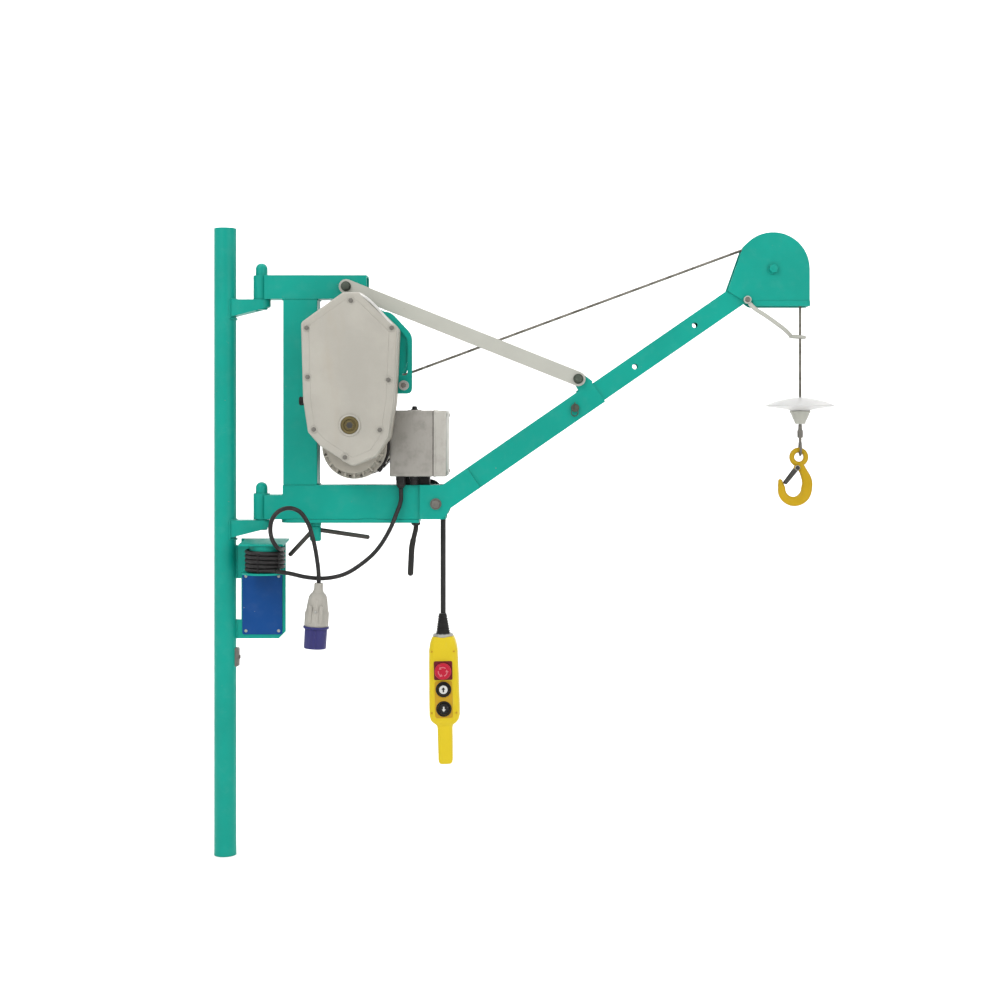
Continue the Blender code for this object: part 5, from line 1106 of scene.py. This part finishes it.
# electric box with its lid, switch knob and glands
ebox = {"low": (0.366, -0.0455, 0.832), "seam": 0.461, "high": (0.489, 0.064, 0.976)}
low, high = ebox["low"], ebox["high"]
boxShapes = [block(low, (ebox["seam"] - 0.001, high[1], high[2]), 0.002, 0.0035, "YZ")]
make("box_foot", [block((0.395, -0.015, 0.8133), (0.45, 0.02, 0.8325), 0.0008, 0.002)], "black",
    "swing_frame")
make("box_body", boxShapes, "boxFront", "swing_frame", ("electric_box",))
make("box_seal", [block((ebox["seam"] - 0.0016, low[1] + 0.001, low[2] + 0.001),
    (ebox["seam"] + 0.0006, high[1] - 0.001, high[2] - 0.001), 0.0002, 0.003, "YZ")], "black",
    "swing_frame")
lidShapes = [block((ebox["seam"], low[1], low[2]), high, 0.0034, 0.004, "YZ"),
    block((ebox["seam"], low[1] - 0.0012, low[2] - 0.0012),
    (ebox["seam"] + 0.0035, high[1] + 0.0012, high[2] + 0.0012), 0.0008, 0.004, "YZ")]
# the lid takes the lighter copy of the box metal: painted light for the box's lit right-hand side
make("box_cover", lidShapes, "boxPaintedLight", "swing_frame", ("box_lid",))
lidScrews = []
for y in (low[1] + 0.01, high[1] - 0.01):
    for z in (low[2] + 0.01, high[2] - 0.01):
        screw = lathe([(0.0, -0.001), (0.0042, -0.001), (0.0042, 0.0008), (0.0032, 0.0018), (0.0, 0.0018)],
            (high[0], y, z), (1, 0, 0), 24)
        lidScrews.append(screw)
make("box_screws", lidScrews, "steel", "swing_frame")
knobShape = [lathe([(0.0, 0.0), (0.0085, 0.0), (0.0085, 0.0025), (0.006, 0.0035), (0.0055, 0.008),
    (0.004, 0.0098), (0.0, 0.01)], (0.417, -0.01, high[2] - 0.0004), sides=40)]
make("box_knob", knobShape, "black", "swing_frame")
# the knob seat takes the same lighter copy of the box metal: painted light
seat = [lathe([(0.0, 0.0), (0.015, 0.0), (0.015, 0.0016), (0.0, 0.0016)], (0.417, -0.01, high[2] - 0.0004),
    sides=48)]
make("knob_seat", seat, "boxPaintedLight", "swing_frame")


def gland(x, y, top, bottom, nut, cable, name, node, body):
    # six-sided body, dome nut with fine flutes, and a lip round the cable
    depth = top - bottom
    shapes = [slab(roundedOutline(hexagon(x, y, nut, 10), nut * 0.12, 3), top - depth * 0.34, top, 0.0006,
        plane="XY")]
    a = circleAngles(96)
    flute = 1 + 0.035 * np.cos(16 * a)
    rows = [(nut * 0.86, 0.34), (nut * 0.9, 0.38), (nut * 0.9, 0.7), (nut * 0.8, 0.8),
        (cable * 1.55, 0.9), (cable * 1.45, 0.99), (cable * 1.2, 1.0)]
    grid = np.stack([np.stack([x + radius * flute * np.cos(a), y + radius * flute * np.sin(a),
        np.full(96, top - share * depth)], axis=-1) for radius, share in rows])
    shapes.append(gridSurface(grid))
    return make(name, shapes, "black", body, (node,) if node else ())


gland(0.3894, -0.0345, 0.8317, 0.807, 0.0112, supply["radius"], "supply_gland", "cord_gland", "swing_frame")
leadShapes = [slab(roundedOutline(hexagon(0.423, 0.052, 0.0122, 10), 0.0014, 3), 0.8232, 0.8317, 0.0006,
    plane="XY"), lathe([(0.0, 0.0), (0.0105, 0.0), (0.0112, 0.0015), (0.0112, 0.0148), (0.0, 0.0148)],
    (0.423, 0.052, 0.8087), sides=48), lathe([(0.0, 0.0), (0.008, 0.0), (0.008, 0.008), (0.0092, 0.0086),
    (0.0092, 0.011), (0.0072, 0.0134), (0.0, 0.0134)], (0.423, 0.052, 0.817), (1, 0, 0), 48)]
make("control_gland", leadShapes, "black", "swing_frame", ("lead_gland",))
spareGland = [lathe([(0.0, 0.0), (0.011, 0.0), (0.011, -0.005), (0.009, -0.0062), (0.009, -0.016),
    (0.0075, -0.018), (0.0, -0.018)], (0.418, -0.03, 0.8317), sides=48)]
make("blanked_gland", spareGland, "black", "swing_frame")
print("box made")


# hanging control: shell, boot, guard and buttons
shellDims = {"depth": 0.024, "squareness": 4.5, "sides": 96}
controlOrigin = np.array([control["x"], control["y"], control["bootBottom"]])


def controlPlaced(shape):
    points, faces = shape
    return turnedAbout((points + controlOrigin, faces), control["tilt"], controlOrigin)


def superRing(halfWidth, halfDepth, power, z):
    # |x/w|^p + |y/d|^p = 1
    a = circleAngles(shellDims["sides"])
    c, s = np.cos(a), np.sin(a)
    size = (np.abs(c) ** power + np.abs(s) ** power) ** (-1 / power)
    return np.stack([halfWidth * size * c, halfDepth * size * s, np.full(shellDims["sides"], z)], axis=-1)


levels = np.array([-0.004, -0.0046, -0.0085, -0.018, -0.034, -0.09, -0.135, -0.16, -0.18, -0.19, -0.196,
    -0.2, -0.204, -0.21, -0.23, -0.278, -0.285, -0.288, -0.289])
widths = np.array([0.0205, 0.0232, 0.0258, 0.029, 0.0318, 0.033, 0.0336, 0.034, 0.0338, 0.031, 0.0262,
    0.0205, 0.0176, 0.0168, 0.0166, 0.0162, 0.015, 0.0125, 0.01])
depths = np.array([0.019, 0.021, 0.0228, 0.0238, 0.024, 0.024, 0.024, 0.024, 0.024, 0.0228, 0.02,
    0.0172, 0.0158, 0.0152, 0.015, 0.0148, 0.0138, 0.0115, 0.009])
fine = np.linspace(0, len(levels) - 1, 150)
index = np.arange(len(levels))
rows = [superRing(np.interp(t, index, widths), np.interp(t, index, depths), shellDims["squareness"],
    np.interp(t, index, levels)) for t in fine]
shellPiece = make("control_shell", [controlPlaced(gridSurface(np.stack(rows)))], "yellow", "pendant",
    ("pendant_case",), sharp=50)
face = -shellDims["depth"]
buttons = {"stop": 0.0785, "up": 0.1197, "down": 0.1627}


def faceLathe(profile, below, sides=64, ring=False):
    # distances run outwards from the shell's front face
    return controlPlaced(lathe(profile, (0, face, -below), (0, -1, 0), sides, ring))


pockets = [faceLathe([(0.0, 0.01), (0.0104, 0.01), (0.0104, -0.0125), (0.0, -0.0125)], buttons["stop"], 48)]
for name in ("up", "down"):
    pockets.append(faceLathe([(0.0, 0.01), (0.0135, 0.01), (0.0135, -0.0125), (0.0, -0.0125)], buttons[name],
        48))
carved(shellPiece, pockets)
seamLine = [controlPlaced(gridSurface(np.stack([superRing(np.interp(t, index, widths) + 0.0003, 0.0006,
    shellDims["squareness"], np.interp(t, index, levels)) for t in fine[8:-8]])))]
make("shell_seam", seamLine, "amber", "pendant")
bootTop = control["bootTop"] - control["bootBottom"]
bootHeight = np.linspace(0, bootTop, 110)
bootRadius = np.interp(bootHeight, [0, 0.004, bootTop], [0.0165, 0.015, 0.0086])
ribbedPart = (bootHeight > 0.006) * (bootHeight < bootTop - 0.004)
bootRadius = bootRadius + 0.0008 * np.sign(np.sin(bootHeight * 1150)) * ribbedPart
bootProfile = np.r_[[(0.0, 0.0)], np.c_[bootRadius, bootHeight], [(0.0, bootTop)]]
bootShapes = [controlPlaced(lathe(bootProfile, (0, 0, 0.0), sides=56))]
make("cable_boot", bootShapes, "black", "pendant", sharp=25)
collarShapes = [controlPlaced(lathe([(0.0, -0.006), (0.02, -0.006), (0.0222, -0.005), (0.0232, -0.003),
    (0.0232, -0.0006), (0.0222, 0.0008), (0.016, 0.0014), (0.0, 0.0014)], (0, 0, 0), sides=72))]
for angle in np.arange(0, 360, 30):
    a = math.radians(angle)
    collarShapes.append(controlPlaced(lathe([(0.0, 0.0), (0.0016, 0.0), (0.0012, 0.0014), (0.0, 0.0016)],
        (0.0192 * math.cos(a), 0.0192 * math.sin(a), 0.0008), sides=12)))
make("boot_collar", collarShapes, "steel", "pendant")

guardCorners = [(-0.0205, -buttons["stop"] - 0.0205), (0.0205, -buttons["stop"] - 0.0205),
    (0.0205, -buttons["stop"] + 0.0215), (-0.0205, -buttons["stop"] + 0.0215)]
guardOutline = roundedOutline(guardCorners, 0.0035, 6)
panel = [controlPlaced(slab(guardOutline, face - 0.0008, face + 0.001, 0.0003, 0.0006))]
lowerPanel = roundedOutline([(-0.0195, -buttons["down"] - 0.0205), (0.0195, -buttons["down"] - 0.0205),
    (0.0195, -buttons["up"] + 0.0185), (-0.0195, -buttons["up"] + 0.0185)], 0.005, 6)
panel.append(controlPlaced(slab(lowerPanel, face - 0.0012, face + 0.001, 0.0003, 0.0006)))
guardPiece = make("button_panel", [panel[1]], "amber", "pendant")
carved(guardPiece, pockets[1:])
stopPanel = make("stop_panel", [panel[0]], "stopGuard", "pendant")
carved(stopPanel, pockets[:1])
bezels = []
for name in ("up", "down"):
    bezels.append(faceLathe([(0.0138, -0.0005), (0.0172, -0.0005), (0.0172, 0.0026), (0.016, 0.0042),
        (0.0148, 0.0042), (0.0138, 0.003)], buttons[name], 72, ring=True))
make("button_bezels", bezels, "black", "pendant")
stopSkirt = faceLathe([(0.0108, 0.0004), (0.015, 0.0004), (0.015, 0.0012), (0.0108, 0.0012)],
    buttons["stop"], 64, ring=True)
make("stop_skirt", [stopSkirt], "black", "pendant")

stopHead = faceLathe([(0.0, -0.0065), (0.0096, -0.0065), (0.0098, 0.0058), (0.0168, 0.006), (0.0184, 0.0068),
    (0.0185, 0.01), (0.0176, 0.0128), (0.015, 0.0144), (0.011, 0.0149), (0.0, 0.015)], buttons["stop"],
    96)
make("stop_button", [stopHead], "red", "e_stop", ("emergency_stop",), sharp=60)
arrows = []
for turn in (90, 210, 330):
    bend = arcPoints((0, 0), 0.0108, turn - 42, turn + 26, 14)
    inner = arcPoints((0, 0), 0.0086, turn + 26, turn - 42, 14)
    tipA = arcPoints((0, 0), 0.0136, turn + 26, turn + 26, 1)
    tipB = arcPoints((0, 0), 0.0097, turn + 58, turn + 58, 1)
    tipC = arcPoints((0, 0), 0.0058, turn + 26, turn + 26, 1)
    outline = np.concatenate([bend, tipA, tipB, tipC, inner])
    outline[:, 1] -= buttons["stop"]
    arrows.append(controlPlaced(slab(outline, face - 0.0154, face - 0.0146, 0.0001)))
make("stop_arrows", arrows, "stopMark", "e_stop")


def pushButton(name, node, finish, markFinish, up):
    cap = faceLathe([(0.0, -0.0065), (0.0118, -0.0065), (0.0126, -0.0055), (0.0126, 0.0038), (0.0118, 0.005),
        (0.0104, 0.0055), (0.0098, 0.0046), (0.0, 0.0042)], buttons[name], 72)
    make(name + "_cap", [cap], "black", node, (node,), sharp=40)
    centre = faceLathe([(0.0, 0.003), (0.0094, 0.003), (0.0094, 0.0052), (0.0086, 0.0058), (0.0, 0.0058)],
        buttons[name], 64)
    make(name + "_centre", [centre], finish, node)
    sign = 1 if up else -1
    arrow = np.array([(-0.0016, -0.0055), (0.0016, -0.0055), (0.0016, 0.0004), (0.0044, 0.0004),
        (0.0, 0.0058), (-0.0044, 0.0004), (-0.0016, 0.0004)]) * [1, sign]
    arrow[:, 1] -= buttons[name]
    make(name + "_arrow", [controlPlaced(slab(arrow, face - 0.0062, face - 0.005, 0.0001))], markFinish,
        node)


pushButton("up", "up_button", "buttonWhite", "black", True)
pushButton("down", "down_button", "black", "buttonWhite", False)
shellScrews = [controlPlaced(domeHead(sx, sz, face + 0.0016, -0.0022, 0.0022, 20)) for sx,
    sz in ((-0.0245, -0.036), (0.0245, -0.036), (-0.0275, -0.172), (0.0275, -0.172))]
make("shell_screws", shellScrews, "amber", "pendant")
print("control made")


# limit disc, ballast cone, rope eye and hook
disc = {"x": 1.264, "top": 1.0045, "bottom": 0.976, "radius": 0.075, "coneBottom": coneBottom}
fx = disc["x"]
discProfile = [(0.0033, disc["top"]), (0.012, disc["top"] - 0.0003), (0.03, disc["top"] - 0.003),
    (0.055, disc["top"] - 0.0088), (0.07, disc["top"] - 0.0146), (disc["radius"], disc["top"] - 0.0168),
    (disc["radius"] + 0.0002, disc["top"] - 0.018), (disc["radius"], disc["top"] - 0.0192),
    (0.07, disc["top"] - 0.0204), (0.045, disc["top"] - 0.024), (0.03, disc["top"] - 0.0262),
    (0.022, disc["bottom"]), (0.0033, disc["bottom"])]
make("limit_disc", [lathe(discProfile, (fx, 0, 0), sides=128, ring=True)], "white", "hook_block",
    ("limit_disc",), sharp=40)
coneTop = disc["bottom"] - 0.0003
make("ballast_cone", [lathe([(0.0033, coneTop), (0.022, coneTop), (0.023, coneTop - 0.001),
    (0.0228, coneTop - 0.004), (0.0205, coneTop - 0.0062), (0.016, coneTop - 0.018),
    (0.015, coneTop - 0.02), (0.0142, coneTop - 0.0202), (0.0112, coneTop - 0.0285),
    (0.0098, disc["coneBottom"]), (0.0033, disc["coneBottom"])], (fx, 0, 0), sides=96, ring=True)], "cone",
    "hook_block", ("ballast_cone",))
loop = {"z": 0.893, "radius": 0.015, "wire": 0.0028}
loopTurn = np.radians(np.linspace(72, -252, 90))
loopPath = np.c_[np.full(90, fx), loop["radius"] * 0.72 * np.cos(loopTurn),
    loop["z"] + loop["radius"] * np.sin(loopTurn)]
neckTop = 0.92
neck = [(fx, 0.003, neckTop), (fx, 0.0036, 0.912)]
loopPath = np.concatenate([neck, loopPath[2:-2], [(fx, -0.0036, 0.912), (fx, -0.003, neckTop)]])
loopShape = sweep(smoothPath(loopPath, 0.0008), loop["wire"], 18, rope["strands"], rope["valley"], 0.03)
ferruleTop = disc["coneBottom"] - 0.0006
ferrule = lathe([(0.0, 0.916), (0.0052, 0.916), (0.0062, 0.918), (0.0064, 0.93), (0.0056, 0.933),
    (0.0044, 0.9345), (0.004, ferruleTop), (0.0, ferruleTop)], (fx, 0, 0), sides=48)
make("rope_eye", [loopShape], "rope", "hook_block", ("rope_eye",))
make("rope_ferrule", [ferrule], "dullSteel", "hook_block")

hook = {"bowl": (1.249, 0.806), "eye": (1.261, 0.8735), "eyeRadius": 0.0154}
angles = np.array([78, 68, 55, 40, 0, -45, -90, -135, -180, -200, -215.0])
reach = np.array([0.056, 0.0465, 0.04, 0.0358, 0.029, 0.0298, 0.0303, 0.0282, 0.0255, 0.0295, 0.035])
halfWidth = np.array([0.0082, 0.0084, 0.0092, 0.0108, 0.0122, 0.012, 0.0105, 0.0095, 0.0084, 0.006, 0.004])
turn = np.linspace(78, -215, 160)
radius = np.interp(-turn, -angles, reach)
width = np.interp(-turn, -angles, halfWidth)
window = np.hanning(15) / np.hanning(15).sum()
radius = np.convolve(np.pad(radius, 7, "edge"), window, "valid")
width = np.convolve(np.pad(width, 7, "edge"), window, "valid")
bx, bz = hook["bowl"]
spine = np.c_[bx + radius * np.cos(np.radians(turn)), bz + radius * np.sin(np.radians(turn))]
tangent = np.gradient(spine, axis=0)
tangent /= np.linalg.norm(tangent, axis=1)[:, None]
normal = np.c_[tangent[:, 1], -tangent[:, 0]]
tipDistance = np.linalg.norm(spine - spine[-1], axis=1)
tipShare = np.sqrt(np.clip(1 - (1 - np.clip(tipDistance / 0.005, 0, 1)) ** 2, 0.001, 1))
a = circleAngles(40)
thick = np.interp(width, [0.0035, 0.0115], [0.005, 0.008])
outside = np.sign(np.cos(a)) * np.abs(np.cos(a)) ** 0.8
depth = np.sign(np.sin(a)) * np.abs(np.sin(a)) ** 0.75
taper = 1 - 0.22 * np.cos(a)[None]                      # thinner towards the outer rim
sideways = (width * tipShare)[:, None] * outside[None]
deep = (thick * tipShare)[:, None] * depth[None] * taper
hookGrid = np.stack([spine[:, 0:1] + normal[:, 0:1] * sideways, deep,
    spine[:, 1:2] + normal[:, 1:2] * sideways], axis=-1)
ex, ez = hook["eye"]
ringTurn = circleAngles(72)
section = circleAngles(24)
ringRadius = hook["eyeRadius"] + 0.0058 * np.cos(section)[None]
eyeGrid = np.stack([ex + ringRadius * np.cos(ringTurn)[:, None],
    np.broadcast_to(0.0055 * np.sin(section)[None], (72, 24)), ez + ringRadius * np.sin(ringTurn)[:, None]],
    axis=-1)
boss = turned([(0.0, -0.0078), (0.0058, -0.0078), (0.0068, -0.007), (0.0068, 0.007), (0.0058, 0.0078),
    (0.0, 0.0078)], 1.257, 0.85, 40)
make("load_hook", [gridSurface(hookGrid), gridSurface(eyeGrid, wrapRows=True), boss], "hook", "hook",
    ("load_hook",), sharp=55)
pivot = np.array([1.257, 0.85])
toe = np.array([1.2315, 0.8175])
latchLine = toe - pivot
reachAngle = math.degrees(math.atan2(latchLine[1], latchLine[0]))
cheeks = []
ends = np.concatenate([arcPoints(pivot, 0.0048, reachAngle + 90, reachAngle + 270, 12),
    arcPoints(toe, 0.0036, reachAngle - 90, reachAngle + 90, 10)])
for side in (-1, 1):
    y = side * 0.0093
    cheeks.append(slab(ends, y - 0.0009, y + 0.0009, 0.0003))
u = latchLine / np.linalg.norm(latchLine)
n = np.array([-u[1], u[0]])
bridge = np.concatenate([[pivot + u * 0.014 + n * 0.0036], [toe + n * 0.0034], [toe + n * 0.002],
    [pivot + u * 0.014 + n * 0.002]])
cheeks.append(slab(bridge, -0.0098, 0.0098, 0.0003))
cheeks.append(turned([(0.0, -0.0112), (0.002, -0.0112), (0.003, -0.0104), (0.003, 0.0104),
    (0.002, 0.0112), (0.0, 0.0112)], pivot[0], pivot[1], 24))
make("hook_latch", cheeks, "darkSteel", "latch", ("hook_latch",))
springTurn = np.linspace(0, 2 * math.pi * 4, 120)
spring = np.c_[pivot[0] + 0.0052 * np.cos(springTurn), np.linspace(-0.0104, -0.008, 120),
    pivot[1] + 0.0052 * np.sin(springTurn)]
make("latch_spring", [sweep(spring, 0.0005, 8)], "steel", "latch")
print("hook made")


# inner pieces that stay as the frame has them
for node, finish in (("drum_gear", "steel"), ("second_gear", "steel"), ("first_gear", "steel"),
        ("motor_rotor", "darkSteel")):
    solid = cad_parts[node]
    solid.data.materials.clear()
    solid.data.materials.append(finishes[finish])


# studio: pale sweep, soft light and a long-lens camera
studio = {"floor": 0.0, "wall": 3.2, "camera": (0.714, -3.5, 0.955), "lens": 57.3, "shift": (-0.05, -0.08)}
sweepLine = [(-4.5, studio["floor"]), (studio["wall"] - 1.2, studio["floor"])]
bend = arcPoints((studio["wall"] - 1.2, 1.2), 1.2, -90, 0, 24)
section = np.concatenate([sweepLine, bend, [(studio["wall"], 6.0)]])
section = evenPath(np.c_[section, np.zeros(len(section))], 0.08)[:, :2]
backdropGrid = np.stack([np.stack([np.full(len(section), x), section[:, 0], section[:, 1]],
    axis=-1) for x in (-6.0, 7.5)])
points, faces = gridSurface(backdropGrid, wrapColumns=False)
backdropMesh = bpy.data.meshes.new("backdrop")
backdropMesh.from_pydata(points, [], faces)
backdropMesh.shade_smooth()
backdrop = inScene(bpy.data.objects.new("backdrop", backdropMesh))
paper = Finish("studio paper")
backdropMesh.materials.append(paper.set(Base_Color=(0.93, 0.93, 0.93, 1.0), Roughness=0.9))


def softLight(name, place, target, size, power):
    light = bpy.data.lights.new(name, "AREA")
    light.shape = "RECTANGLE"
    light.size, light.size_y = size
    light.energy = power
    lamp = bpy.data.objects.new(name, light)
    lamp.location = place
    lamp.rotation_euler = (Vector(target) - Vector(place)).to_track_quat("-Z", "Y").to_euler()
    inScene(lamp)


softLight("key light", (-1.6, -3.0, 3.4), (0.5, 0, 0.9), (2.2, 2.2), 95)
softLight("fill light", (3.2, -2.6, 2.0), (0.6, 0, 0.9), (2.4, 2.4), 50)
softLight("wall light", (0.6, 0.6, 4.2), (0.6, 3.0, 1.2), (4.0, 1.5), 120)
world = bpy.data.worlds.new("soft room")
world.use_nodes = True
world.node_tree.nodes["Background"].inputs["Color"].default_value = (1.0, 1.0, 1.0, 1.0)
world.node_tree.nodes["Background"].inputs["Strength"].default_value = 0.9
bpy.context.scene.world = world
lens = bpy.data.cameras.new("camera")
lens.lens = studio["lens"]
lens.sensor_width = 36
lens.shift_x, lens.shift_y = studio["shift"]
camera = bpy.data.objects.new("camera", lens)
camera.location = studio["camera"]
camera.rotation_euler = (math.pi / 2, 0, 0)
inScene(camera)
bpy.context.scene.camera = camera
bpy.context.scene.view_settings.view_transform = "Standard"
print("studio made")
